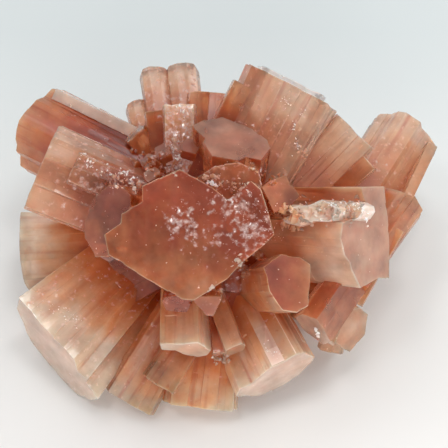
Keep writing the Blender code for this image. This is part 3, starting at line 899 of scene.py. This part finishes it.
def look_mesh() -> bmesh.types.BMesh:
    """Starts a mesh.

    Returns:
        An empty mesh with a crystal's layers: the map "grain" in mm, and "look" and "cap".
    """
    bm = bmesh.new()
    bm.faces.layers.float.new("cap")
    bm.loops.layers.uv.new("grain")
    bm.loops.layers.float_color.new("look")
    return bm


def paint(bm: bmesh.types.BMesh, faces: Iterable[bmesh.types.BMFace], shown: Look) -> None:
    """Writes a look on faces of the heart or of the loose grains, without a crystal's streaks.

    Args:
        bm: the mesh, with the layers of look_mesh().
        faces: the faces.
        shown: the look.
    """
    grain = bm.loops.layers.uv["grain"]
    look = bm.loops.layers.float_color["look"]
    cap = bm.faces.layers.float["cap"]
    for face in faces:
        face[cap] = -shown.haze_and_sheen
        for loop in face.loops:
            loop[grain].uv = (loop.vert.co.x, LUMP_MAP + loop.vert.co.y * LUMP_STRETCH)
            loop[look] = (shown.tone, shown.stain, shown.frost, shown.clear)


@dataclass
class Heart:
    """The rough lump that the crystals grow from, in mm."""

    radii: Place = (10.5, 10.0, 8.0)
    middle: Place = (-1.0, -0.5, -0.5)
    roughness: float = 0.09
    look: Look = field(default_factory=lambda: Look(0.3, 0.5, 0.4, 0.3))

    def build(self) -> bmesh.types.BMesh:
        """The lump in the star's axes and mm, with the same layers as a crystal.

        Returns:
            A closed mesh.
        """
        chance = random.Random("heart")
        bm = look_mesh()
        bmesh.ops.create_icosphere(bm, subdivisions=2, radius=1.0)
        for vert in bm.verts:
            rough = 1 + chance.uniform(-self.roughness, self.roughness)
            stretched = Vector(radius * value for radius, value in zip(self.radii, vert.co))
            vert.co = Vector(self.middle) + stretched * rough
        paint(bm, bm.faces, self.look)
        return bm


@dataclass(frozen=True)
class Strip:
    """Where grains lie, seen from in front: from one place to another on the star, in mm.

    width is how far they stray to the sides, and size their radius.
    """

    start: Point
    end: Point
    width: float
    count: int
    size: float
    look: Look


# White grains that stand for glints of light: a painted highlight
PAINTED_GLINT = Look(1.5, 0.0, 0.0, -0.5, haze_and_sheen=4.0)


@dataclass
class Grains:
    """Crumbs and splinters of aragonite in the clefts, on ledges and along broken edges, in mm, and
    white grains that are painted glints.

    Those that touch each other go into different layers, at most deepest of those. A grain's
    size is its strip's times one of sizes, and stretch is how far it is drawn out along its
    axes. They fall from the height above, usually stray by a strip's width over strays, and stay
    apart by spacing times their sizes. corners is how many points each one has.
    """

    strips: tuple[Strip, ...] = (
        # Under the front crystal's lower right edge
        Strip((1.4, -4.4), (3.4, -6.8), 1.2, 60, 0.32, Look(0.85, 0.3, 0.5, 0.4)),
        Strip((-2.0, -8.4), (0.4, -9.6), 0.9, 24, 0.30, Look(0.8, 0.3, 0.6, 0.4)),
        Strip((-1.6, -18.8), (0.8, -18.9), 0.8, 30, 0.34, Look(0.95, 0.2, 0.5, 0.3)),
        # The broken ledge on the right crystal
        Strip((7.2, 1.4), (10.4, 1.0), 2.6, 36, 0.6, Look(0.88, 0.0, 0.2, 0.0, haze_and_sheen=0.3)),
        Strip((10.0, 1.4), (18.6, 1.8), 3.2, 50, 0.4, Look(1.4, 0.0, 0.3, 0.4)),
        # The recess at the upper left
        Strip((-13.0, 9.6), (-6.0, 6.6), 2.4, 40, 0.5, Look(0.58, 0.2, 0.6, 0.4)),
        Strip((-15.5, 6.2), (-11.5, 5.0), 1.4, 24, 0.36, Look(0.8, 0.1, 0.9, 0.2)),
        Strip((-6.9, 12.0), (-6.5, 10.0), 0.7, 40, 0.42, Look(0.9, 0.1, 1.0, 0.2)),
        Strip((-2.8, 6.4), (3.4, 4.6), 0.9, 36, 0.30, Look(0.8, 0.1, 0.8, 0.2)),
        Strip((3.0, 8.4), (8.0, 6.0), 2.0, 40, 0.30, Look(0.7, 0.2, 0.5, 0.2)),
        Strip((9.6, 12.6), (11.6, 8.0), 0.9, 14, 0.32, Look(0.9, 0.1, 0.9, 0.2)),
        # White grains as painted glints, highlights painted into the colour
        Strip((-19.8, 8.8), (-11.6, 6.0), 1.5, 46, 0.20, PAINTED_GLINT),
        Strip((-6.9, 11.2), (-6.1, 8.8), 0.8, 34, 0.22, PAINTED_GLINT),
        Strip((-6.6, 16.4), (-5.0, 14.6), 1.2, 12, 0.18, PAINTED_GLINT),
        Strip((-2.6, 6.4), (-0.8, 4.8), 0.5, 16, 0.26, PAINTED_GLINT),
        Strip((-1.0, 5.6), (4.6, 3.2), 1.6, 30, 0.08, PAINTED_GLINT),
        Strip((-6.0, 3.0), (6.0, -1.0), 7.0, 90, 0.045, PAINTED_GLINT),
        Strip((5.2, 2.4), (7.6, -2.4), 2.4, 50, 0.055, PAINTED_GLINT),
        Strip((10.6, 2.6), (18.6, 2.2), 1.6, 40, 0.20, PAINTED_GLINT),
        Strip((19.1, 1.6), (19.4, -0.4), 0.5, 12, 0.22, PAINTED_GLINT),
        Strip((12.4, -14.2), (13.0, -15.4), 0.3, 12, 0.24, PAINTED_GLINT),
        Strip((9.0, 15.4), (10.4, 9.4), 1.2, 14, 0.16, PAINTED_GLINT),
        Strip((5.6, -16.4), (7.8, -18.8), 1.0, 16, 0.11, PAINTED_GLINT),
        Strip((7.6, 17.4), (11.2, 15.2), 0.9, 16, 0.10, PAINTED_GLINT),
        Strip((-24.0, -11.0), (-20.4, -14.4), 1.6, 26, 0.09, PAINTED_GLINT),
        # Dust
        Strip((-27.0, -10.5), (-20.0, -15.0), 3.0, 16, 0.10, Look(1.2, 0.0, 0.9, 0.1)),
        Strip((-22.0, 0.0), (22.0, 0.0), 26.0, 150, 0.09, Look(1.1, 0.0, 0.6, 0.1)),
    )
    deepest: int = 9
    corners: int = 9
    above: float = 60.0
    strays: float = 3.0
    sizes: Point = (0.4, 1.5)
    stretch: Point = (0.5, 1.3)
    spacing: float = 1.4

    def build(self, star: bmesh.types.BMesh) -> list[bmesh.types.BMesh]:
        """Drops the grains on the star from in front.

        Args:
            star: the fused crystals, in the star's axes and mm.

        Returns:
            Layers, each a mesh of closed grains that are clear of each other.
        """
        chance = random.Random("grains")
        tree = BVHTree.FromBMesh(star)
        layers = [look_mesh() for _ in range(self.deepest)]
        seats: list[list[tuple[Vector, float]]] = [[] for _ in layers]
        down = Vector((0, 0, -1))
        for strip in self.strips:
            start, way = Vector(strip.start), Vector(strip.end) - Vector(strip.start)
            side = Vector((-way.y, way.x)).normalized()
            for _ in range(strip.count):
                at = start + way * chance.random()
                at += side * chance.gauss(0.0, strip.width / self.strays)
                size = strip.size * chance.uniform(*self.sizes)
                seat = tree.ray_cast(at.to_3d() - down * self.above, down)[0]
                if seat is None:
                    continue
                for layer, taken in zip(layers, seats):
                    if all((seat - other).length > (size + wide) * self.spacing for other, wide in taken):
                        taken.append((seat, size))
                        self.add_grain(layer, chance, seat, size, strip.look)
                        break
        for layer in layers:
            bmesh.ops.recalc_face_normals(layer, faces=layer.faces)
        return layers

    def add_grain(
        self,
        bm: bmesh.types.BMesh,
        chance: random.Random,
        place: Vector,
        size: float,
        look: Look,
    ) -> None:
        """Adds one splinter, the hull of a few points.

        Args:
            bm: the mesh that it goes into.
            chance: random numbers.
            place: its middle, in mm.
            size: its radius, in mm.
            look: its look.
        """
        turn = Euler([chance.uniform(0, math.tau) for _ in range(3)]).to_matrix()
        shape = Vector([chance.uniform(*self.stretch) * size for _ in range(3)])
        points = []
        for _ in range(self.corners):
            point = Vector([chance.gauss(0.0, 1.0) for _ in range(3)]).normalized()
            points.append(bm.verts.new(place + turn @ (point * shape)))
        hull = bmesh.ops.convex_hull(bm, input=points)["geom"]
        paint(bm, [part for part in hull if isinstance(part, bmesh.types.BMFace)], look)


@dataclass
class Cluster:
    """The whole stone: crystals, heart and grains, fused, leaned and trimmed where it stands.

    slab is the side of the block under it, in mm, and edges that bend by less than sharp, in
    radians, are shown smooth.
    """

    crystals: tuple[Crystal, ...] = CRYSTALS
    heart: Heart = field(default_factory=Heart)
    grains: Grains = field(default_factory=Grains)
    slab: float = 200.0
    sharp: float = math.radians(17)

    def build(self) -> bpy.types.Object:
        """Makes the stone.

        Returns:
            One mesh object at the origin, in metres.
        """
        parts = [self.helper(crystal.name, crystal.build()) for crystal in self.crystals]
        star = self.fuse(self.helper("heart", self.heart.build()), parts, "UNION")
        bm = bmesh.new()
        bm.from_mesh(star.data)
        grains = [self.helper("grains", layer) for layer in self.grains.build(bm)]
        bm.free()
        star = self.fuse(star, grains, "UNION")
        star.data.transform(STANCE.matrix())
        star = self.fuse(star, [self.helper("surface", self.surface())], "DIFFERENCE")
        self.shade(star.data)
        star.name = "aragonite_star"
        return star

    def surface(self) -> bmesh.types.BMesh:
        """A slab whose top is the surface that the stone stands on, in metres.

        Returns:
            A closed box with the same layers as a crystal.
        """
        bm = look_mesh()
        size = self.slab * MM
        bmesh.ops.create_cube(bm, size=size, matrix=Matrix.Translation((0, 0, -size / 2)))
        paint(bm, bm.faces, self.heart.look)
        return bm

    @staticmethod
    def helper(name: str, bm: bmesh.types.BMesh) -> bpy.types.Object:
        """Turns a bmesh into an object.

        Args:
            name: the object's name.
            bm: the shape, which is freed.

        Returns:
            The object.
        """
        mesh = bpy.data.meshes.new(name)
        bm.to_mesh(mesh)
        bm.free()
        return bpy.data.objects.new(name, mesh)

    @staticmethod
    def fuse(
        base: bpy.types.Object, others: list[bpy.types.Object], operation: str
    ) -> bpy.types.Object:
        """Applies a Boolean of closed shapes and removes them.

        Args:
            base: the shape that is kept.
            others: the shapes that are joined to it or taken from it.
            operation: UNION or DIFFERENCE.

        Returns:
            The base, with its new mesh.
        """
        scene = bpy.context.scene
        held = bpy.data.collections.new("held")
        scene.collection.children.link(held)
        for other in others:
            held.objects.link(other)
        if base.name not in scene.collection.objects:
            scene.collection.objects.link(base)
        fusing = base.modifiers.new("fuse", "BOOLEAN")
        fusing.operation = operation
        fusing.solver = "MANIFOLD"
        fusing.operand_type = "COLLECTION"
        fusing.collection = held
        graph = bpy.context.evaluated_depsgraph_get()
        graph.update()
        mesh = bpy.data.meshes.new_from_object(base.evaluated_get(graph), depsgraph=graph)
        base.modifiers.clear()
        base.data = mesh
        for other in others:
            bpy.data.objects.remove(other, do_unlink=True)
        bpy.data.collections.remove(held)
        return base

    def shade(self, mesh: bpy.types.Mesh) -> None:
        """Smooths the gently uneven faces and keeps every crystal edge sharp.

        Args:
            mesh: the stone's mesh.
        """
        bm = bmesh.new()
        bm.from_mesh(mesh)
        bmesh.ops.triangulate(bm, faces=[face for face in bm.faces if len(face.verts) > 4])
        for face in bm.faces:
            face.smooth = True
        for edge in bm.edges:
            edge.smooth = edge.is_manifold and edge.calc_face_angle(0.0) < self.sharp
        bm.to_mesh(mesh)
        bm.free()


@dataclass(frozen=True)
class AragoniteFinish:
    """Iron-stained aragonite, grown and unpolished: translucent, satin sides, glassier ends.

    To the eye it is rusty red-brown in its heart and between crystals, fading through orange to
    cream at the tips, with rusty bands along each crystal and a rough sparkle where it broke.
    The flat ends carry a whitish, pinkish veil, partly its own milkiness and partly a painted sheen
    of the room; some sides carry a painted sheen too, and white grains stand for painted glints.
    Widths, lengths and sizes are in mm, a span is where something starts and where it is full,
    and a share says how much of it is added.
    """

    # Colours from the heart to the tips, then the veil, which also carries painted sheen, the
    # rusty bands, and the white of the colourless slab and of the grains that are painted glints
    heart: str = "#93330F"
    rust: str = "#BA5226"
    orange: str = "#DD8A54"
    peach: str = "#F0BC92"
    cream: str = "#F9DFC6"
    veil_and_sheen: str = "#E6D2CB"
    stain: str = "#BF4F1C"
    white_and_glint: str = "#FFFAF6"
    # What happens to light inside
    depth_tint: tuple[float, float, float, float] = (0.92, 0.55, 0.33, 1.0)
    depth_density: float = 45.0
    refraction: float = 1.6
    gloss: float = 0.6
    scatter: Place = (1.0, 0.8, 0.7)
    scatter_depth: float = 2.2
    # Streaks along the crystals: name, width, seed and contrast
    streaks: tuple[tuple[str, float, float, float], ...] = (
        ("wide", 3.6, 7.0, 0.32),
        ("band", 1.3, 3.0, 0.17),
        ("fine", 0.4, 11.0, 0.06),
    )
    band_length: float = 16.0
    end_stretch: float = 0.7
    # Clouds in the stone: name, size and how many finer layers
    clouds: tuple[tuple[str, float, float], ...] = (
        ("frost patches", 0.8, 5.0),
        ("streaky parts", 5.0, 3.0),
        ("broad clouds", 7.0, 3.0),
        ("middle clouds", 7.0 / 2, 3.0),
        ("small clouds", 7.0 / 3, 3.0),
        ("flecks", 0.9, 3.0),
        ("specks", 0.3, 3.0),
        ("grit", 0.3, 1.0),
        ("dull patches", 1.8, 4.0),
    )
    # Where stain and frost lie
    stain_off_end: float = -0.7
    frost_reach: float = 0.36
    frost_span: Point = (0.66, 0.86)
    # Tone, by streaks, by the way from the heart and from the end, and by clouds
    streaky_span: Point = (0.38, 0.62)
    base_tone: float = -0.76
    out_span: Point = (11.0, 27.0)
    out_share: float = 0.5
    end_span: Point = (7.0, 0.0)
    end_share: float = 0.12
    broad_share: float = 0.6
    small_share: float = 0.4
    frost_shade: float = -0.2
    # Rusty bands and flecks, whitening by haze, painted sheen and frost, and the white of the
    # colourless slab and of painted glints
    rusty_span: Point = (0.5, 0.7)
    fleck_span: Point = (0.6, 0.85)
    fleck_share: float = 0.8
    speck_span: Point = (0.45, 0.62)
    haze_and_sheen_share: float = 0.35
    frost_share: float = 0.4
    speck_share: float = 0.5
    white_and_glint_span: Point = (2.8, 3.6)
    # Clearness, least where hazed or painted with sheen, and greatest in the middle of a cloud
    base_clearness: float = 0.1
    wide_clearness: float = -0.3
    frost_clearness: float = -0.25
    haze_and_sheen_span: Point = (-0.6, -3.0)
    haze_and_sheen_clearness: float = -0.8
    cloud_clearness: float = 0.6
    # Roughness
    base_roughness: float = 0.09
    dull_roughness: float = 0.20
    end_roughness: float = -0.03
    frost_roughness: float = -0.12
    # Striation and grit, as high as bump_height, and the tilt of small facets
    striation: float = 0.35
    grit_share: float = 0.3
    bump: float = 0.5
    bump_height: float = 0.10
    facet_size: float = 0.36
    facet_tilt: float = 0.7

    def material(self) -> bpy.types.Material:
        """Builds the material.

        Returns:
            A Principled material with absorption inside.
        """
        made = bpy.data.materials.new("iron_stained_aragonite")
        surface = {
            "IOR": self.refraction,
            "Specular IOR Level": self.gloss,
            "Subsurface Weight": 1.0,
            "Subsurface Radius": self.scatter,
            "Subsurface Scale": self.scatter_depth * MM,
        }
        patterns = {
            "Base Color": "colour.2",
            "Roughness": "roughness",
            "Transmission Weight": "clearness",
            "Normal": "normal",
        }
        inside = {"Color": self.depth_tint, "Density": self.depth_density}
        steps = [
            *self.places(),
            *self.bands(),
            *self.colour(),
            *self.clearness_and_roughness(),
            *self.relief(),
            ("surface", "BsdfPrincipled", surface, patterns),
            ("inside", "VolumeAbsorption", inside, {}),
            ("out", "OutputMaterial", {}, {"Surface": "surface", "Volume": "inside"}),
        ]
        set_nodes(made, steps)
        return made

    @staticmethod
    def total(name: str, start: float, parts: dict[str, float], clamp: bool = False) -> list[Step]:
        """Adds weighted values to a start value.

        Args:
            name: the sum's name.
            start: the start value.
            parts: the weight of each earlier node.
            clamp: whether the sum is kept between 0 and 1.

        Returns:
            A step for each part, the last of them the sum.
        """
        steps = []
        for part, weight in parts.items():
            last = len(steps) + 1 == len(parts)
            settings = {"operation": "MULTIPLY_ADD", "use_clamp": clamp and last, 1: weight, 2: start}
            links = {0: part, 2: steps[-1][0]} if steps else {0: part}
            steps.append((name if last else f"{name} {len(steps)}", "Math", settings, links))
        return steps

    def places(self) -> list[Step]:
        """Finds the places, looks and clouds that the rest of the material reads.

        Returns:
            Nodes, among them place in mm, way from the heart, looks, end's mask, and frost.
        """
        steps = [
            ("coords", "TexCoord", {}, {}),
            ("place", "VectorMath", {"operation": "SCALE", "Scale": 1 / MM}, {0: "coords.Object"}),
            ("away", "VectorMath", {"operation": "DISTANCE", 1: STANCE.middle()}, {0: "place"}),
            ("grain", "UVMap", {"uv_map": "grain"}, {}),
            ("map", "SeparateXYZ", {}, {0: "grain"}),
            ("look", "Attribute", {"attribute_name": "look"}, {}),
            ("looks", "SeparateColor", {}, {0: "look.Color"}),
            ("cap", "Attribute", {"attribute_name": "cap"}, {}),
            ("end", "MapRange", smooth((0.0, LEAST_END_MARK)), {0: "cap.Fac"}),
            *self.total("stainable", 1.0, {"end": self.stain_off_end}),
            ("stain", "Math", {"operation": "MULTIPLY"}, {0: "looks.1", 1: "stainable"}),
        ]
        for name, size, detail in self.clouds:
            steps.append((name, "TexNoise", {"Scale": 1 / size, "Detail": detail}, {"Vector": "place"}))
        steps += self.total("covered", 0.0, {"frost patches": 1.0, "looks.2": self.frost_reach})
        steps.append(("frost", "MapRange", smooth(self.frost_span), {0: "covered"}))
        return steps

    def bands(self) -> list[Step]:
        """Makes streaks: noise drawn out along the crystals' sides, and even on their ends.

        Returns:
            Nodes, among them one of each streak's name, whose value is about 0.5.
        """
        threads = {"Scale": 1.0, "Detail": 2.0, "Roughness": 0.5, "Distortion": 0.15}
        steps = []
        for name, width, seed, _ in self.streaks:
            drawn = {"Scale": (1 / width, 1 / self.band_length, 1.0), "Location": (seed, seed, seed)}
            even = {"operation": "SCALE", "Scale": self.end_stretch / width}
            either = {0: "end", 4: f"{name} drawn", 5: f"{name} even"}
            steps += [
                (f"{name} drawn", "Mapping", drawn, {0: "grain"}),
                (f"{name} even", "VectorMath", even, {0: "place"}),
                (f"{name} either", "Mix", {"data_type": "VECTOR"}, either),
                (name, "TexNoise", threads, {"Vector": f"{name} either.1"}),
            ]
        return steps

    def colour(self) -> list[Step]:
        """Runs from rust to cream, by depth in the cluster, tone, streaks and clouds, with milkiness,
        painted sheen and painted glints.

        Returns:
            Nodes, the last of them the base colour.
        """
        contrasts = {name: contrast for name, _, _, contrast in self.streaks}
        tones = (self.heart, self.rust, self.orange, self.peach, self.cream)
        stops = tuple((index / (len(tones) - 1), tone) for index, tone in enumerate(tones))
        shares = {
            "looks": 1.0,
            "outer": self.out_share,
            "near end": self.end_share,
            "streaked": 1.0,
            "broad clouds": self.broad_share,
            "small clouds": self.small_share,
            "frost": self.frost_shade,
        }
        veil_and_sheen_shares = {"hazy": self.haze_and_sheen_share, "frost": self.frost_share, "whitened": self.speck_share}
        rusty = {"data_type": "RGBA", 7: linear(self.stain)}
        veiled = {"data_type": "RGBA", 7: linear(self.veil_and_sheen)}
        snowy = {"data_type": "RGBA", 7: linear(self.white_and_glint)}
        return [
            *self.total("streaks", -sum(contrasts.values()) / 2, contrasts),
            ("streaky", "MapRange", smooth(self.streaky_span), {0: "streaky parts"}),
            ("outer", "MapRange", smooth(self.out_span), {0: "away.Value"}),
            ("near end", "MapRange", smooth(self.end_span), {0: "map.Y"}),
            ("streaked", "Math", {"operation": "MULTIPLY"}, {0: "streaks", 1: "streaky"}),
            *self.total("shade", self.base_tone, shares),
            ("tones", "ValToRGB", {"stops": stops}, {0: "shade"}),
            ("flecked", "MapRange", smooth(self.fleck_span), {0: "flecks"}),
            ("banded", "MapRange", smooth(self.rusty_span), {0: "band"}),
            *self.total("rusted", 0.0, {"banded": 1.0, "flecked": self.fleck_share}, clamp=True),
            ("rusty", "Math", {"operation": "MULTIPLY"}, {0: "rusted", 1: "stain"}),
            ("stained", "Mix", rusty, {0: "rusty", 6: "tones"}),
            ("speckled", "MapRange", smooth(self.speck_span), {0: "specks"}),
            ("whitened", "Math", {"operation": "MULTIPLY"}, {0: "speckled", 1: "frost"}),
            # haze on the sides holds their own haze and a painted sheen, and on white grains a painted
            # glint
            ("hazy", "Math", {"operation": "ABSOLUTE"}, {0: "cap.Fac"}),
            *self.total("milky", 0.0, veil_and_sheen_shares, clamp=True),
            ("veiled", "Mix", veiled, {0: "milky", 6: "stained.2"}),
            # The whitest parts: the colourless slab, and white grains that are painted glints
            ("snowy", "MapRange", smooth(self.white_and_glint_span), {0: "hazy"}),
            ("colour", "Mix", snowy, {0: "snowy", 6: "veiled.2"}),
        ]

    def clearness_and_roughness(self) -> list[Step]:
        """Makes clear and cloudy bands by turns, less clear where hazed or painted with sheen, on satin
        sides, glassier ends and small facets.

        Returns:
            Nodes, among them "clearness" and "roughness".
        """
        clear = {
            "look.Alpha": 1.0,
            "wide": self.wide_clearness,
            "frost": self.frost_clearness,
            "whitish": self.haze_and_sheen_clearness,
            "middle clouds": self.cloud_clearness,
        }
        rough = {
            "dull patches": self.dull_roughness,
            "cap.Fac": self.end_roughness,
            "frost": self.frost_roughness,
        }
        return [
            ("whitish", "MapRange", smooth(self.haze_and_sheen_span), {0: "cap.Fac"}),
            *self.total("clearness", self.base_clearness, clear, clamp=True),
            *self.total("roughness", self.base_roughness, rough),
        ]

    def relief(self) -> list[Step]:
        """Makes fine striation along the sides, and a granular surface where frosted.

        Returns:
            Nodes, the last of them the shading normal.
        """
        bump = {"Strength": self.bump, "Distance": self.bump_height * MM}
        centred = {"operation": "SUBTRACT", 1: (0.5, 0.5, 0.5)}
        return [
            ("gritty", "Math", {"operation": "MULTIPLY"}, {0: "grit", 1: "frost"}),
            *self.total("height", 0.0, {"fine": self.striation, "gritty": self.grit_share}),
            ("bump", "Bump", bump, {"Height": "height"}),
            ("facets", "TexVoronoi", {"Scale": 1 / self.facet_size}, {"Vector": "place"}),
            ("centred", "VectorMath", centred, {0: "facets.Color"}),
            *self.total("tilt", 0.0, {"frost": self.facet_tilt}),
            ("tilted", "VectorMath", {"operation": "SCALE"}, {0: "centred", "Scale": "tilt"}),
            ("turned", "VectorMath", {"operation": "ADD"}, {0: "bump", 1: "tilted"}),
            ("normal", "VectorMath", {"operation": "NORMALIZE"}, {0: "turned"}),
        ]


@dataclass(frozen=True)
class Softbox:
    """A square lamp that faces the stone, with lengths in metres and its power in watts.

    place is where it hangs. Where away is set, place is a direction in the star's axes instead,
    and away how far from the star's middle it hangs.
    """

    name: str
    place: Place
    size: float
    power: float
    tint: str = "#FFFFFF"
    away: float = 0.0

    def build(self) -> None:
        """Hangs the lamp."""
        data = bpy.data.lights.new(self.name, "AREA")
        data.energy = self.power
        data.size = self.size
        data.color = linear(self.tint)[:3]
        made = bpy.data.objects.new(self.name, data)
        bpy.context.scene.collection.objects.link(made)
        star = STANCE.middle() * MM
        made.location = self.place
        if self.away:
            made.location = star + STANCE.turn() @ Vector(self.place) * self.away
        made.rotation_euler = (star - made.location).to_track_quat("-Z", "Y").to_euler()


@dataclass
class Studio:
    """A whitish floor with painted shade, soft light and the camera, at the photographed angle.

    The camera looks straight down the star's front crystal. picture_width is the width that the
    picture shows at the star's middle, in mm, and camera_away its distance from there. The floor
    is a matt board with painted shade, as light falls off towards the back: it cools and darkens
    over floor_fade from its middle, in metres. The room's light runs from bright behind to dim
    towards dim_side, in the star's axes.
    """

    picture_width: float = 448 * 0.1415
    camera_away: float = 250.0
    sensor: float = 36.0
    nearest: float = 0.01
    floor_size: float = 4.0
    floor_roughness: float = 0.7
    floor_fade: float = 0.05
    # The floor's tones from front to back: a painted falloff of light, darker and cooler behind
    floor_tones: tuple[tuple[float, str], ...] = ((0.0, "#F0EEEC"), (1.0, "#D0D7D8"))
    dim_side: Place = (-0.25, 0.0, 0.97)
    room_tones: tuple[tuple[float, str], ...] = (
        (0.0, "#FBFCFD"), (0.55, "#F2F5F7"), (0.9, "#8C8886"), (1.0, "#6A6664"),
    )
    room_strength: float = 0.90
    softboxes: tuple[Softbox, ...] = (
        Softbox("key_softbox", (0.33, 0.18, 0.18), 0.20, 0.42, "#FFFDF8"),
        Softbox("front_softbox", (-0.03, -0.42, 0.18), 0.30, 0.7, "#FFF8F2"),
        Softbox("rear_softbox", (-0.27, 0.82, 0.50), 0.15, 0.14, away=0.35),
        # Small ones that glint on rough spots
        Softbox("left_spark", (-0.30, 0.40, 0.86), 0.07, 0.14, away=0.32),
        Softbox("right_spark", (0.14, 0.60, 0.79), 0.07, 0.16, away=0.32),
        Softbox("low_spark", (0.34, -0.60, 0.72), 0.07, 0.20, away=0.32),
    )

    def build(self) -> None:
        """Sets the whole studio up."""
        self.camera()
        self.floor()
        self.room()
        for softbox in self.softboxes:
            softbox.build()
        bpy.context.scene.view_settings.view_transform = "Standard"

    def camera(self) -> None:
        """Places the camera."""
        data = bpy.data.cameras.new("camera")
        data.sensor_width = self.sensor
        data.lens = self.sensor * self.camera_away / self.picture_width
        data.clip_start = self.nearest
        made = bpy.data.objects.new("camera", data)
        bpy.context.scene.collection.objects.link(made)
        turn = STANCE.turn()
        back = turn @ Vector((0.0, 0.0, self.camera_away))
        made.matrix_world = Matrix.Translation((STANCE.middle() + back) * MM) @ turn
        bpy.context.scene.camera = made

    def floor(self) -> None:
        """Lays the floor, with painted shade towards the back."""
        mesh = bpy.data.meshes.new("floor")
        bm = bmesh.new()
        bmesh.ops.create_grid(bm, x_segments=1, y_segments=1, size=self.floor_size / 2)
        bm.to_mesh(mesh)
        bm.free()
        made = bpy.data.objects.new("floor", mesh)
        bpy.context.scene.collection.objects.link(made)
        board = bpy.data.materials.new("matt_white_board")
        fade = {1: -self.floor_fade, 2: self.floor_fade}
        steps = [
            ("coords", "TexCoord", {}, {}),
            ("split", "SeparateXYZ", {}, {0: "coords.Object"}),
            # Painted shade: the board darkens and cools towards the back, as if the light fell off there
            ("back", "MapRange", fade, {0: "split.Y"}),
            ("tones", "ValToRGB", {"stops": self.floor_tones}, {0: "back"}),
            ("board", "BsdfPrincipled", {"Roughness": self.floor_roughness}, {"Base Color": "tones"}),
            ("out", "OutputMaterial", {}, {"Surface": "board"}),
        ]
        set_nodes(board, steps)
        mesh.materials.append(board)

    def room(self) -> None:
        """Lights the room softly: bright behind and above, dimmer on the camera's side."""
        world = bpy.data.worlds.new("room")
        bpy.context.scene.world = world
        dim = {"operation": "DOT_PRODUCT", 1: STANCE.turn() @ Vector(self.dim_side)}
        steps = [
            ("coords", "TexCoord", {}, {}),
            ("dim", "VectorMath", dim, {0: "coords.Generated"}),
            ("tones", "ValToRGB", {"stops": self.room_tones}, {0: "dim.Value"}),
            ("light", "Background", {"Strength": self.room_strength}, {"Color": "tones"}),
            ("out", "OutputWorld", {}, {"Surface": "light"}),
        ]
        set_nodes(world, steps)


def main() -> None:
    """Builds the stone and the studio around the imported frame."""
    logging.basicConfig(level=logging.INFO, format="%(name)s: %(message)s")
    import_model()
    Studio().build()
    LOG.info("studio ready")
    stone = Cluster().build()
    stone.data.materials.clear()
    stone.data.materials.append(AragoniteFinish().material())
    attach(stone, "root")
    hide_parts("aragonite_cluster")
    LOG.info("stone ready: %d faces", len(stone.data.polygons))


if __name__ == "__main__":
    main()
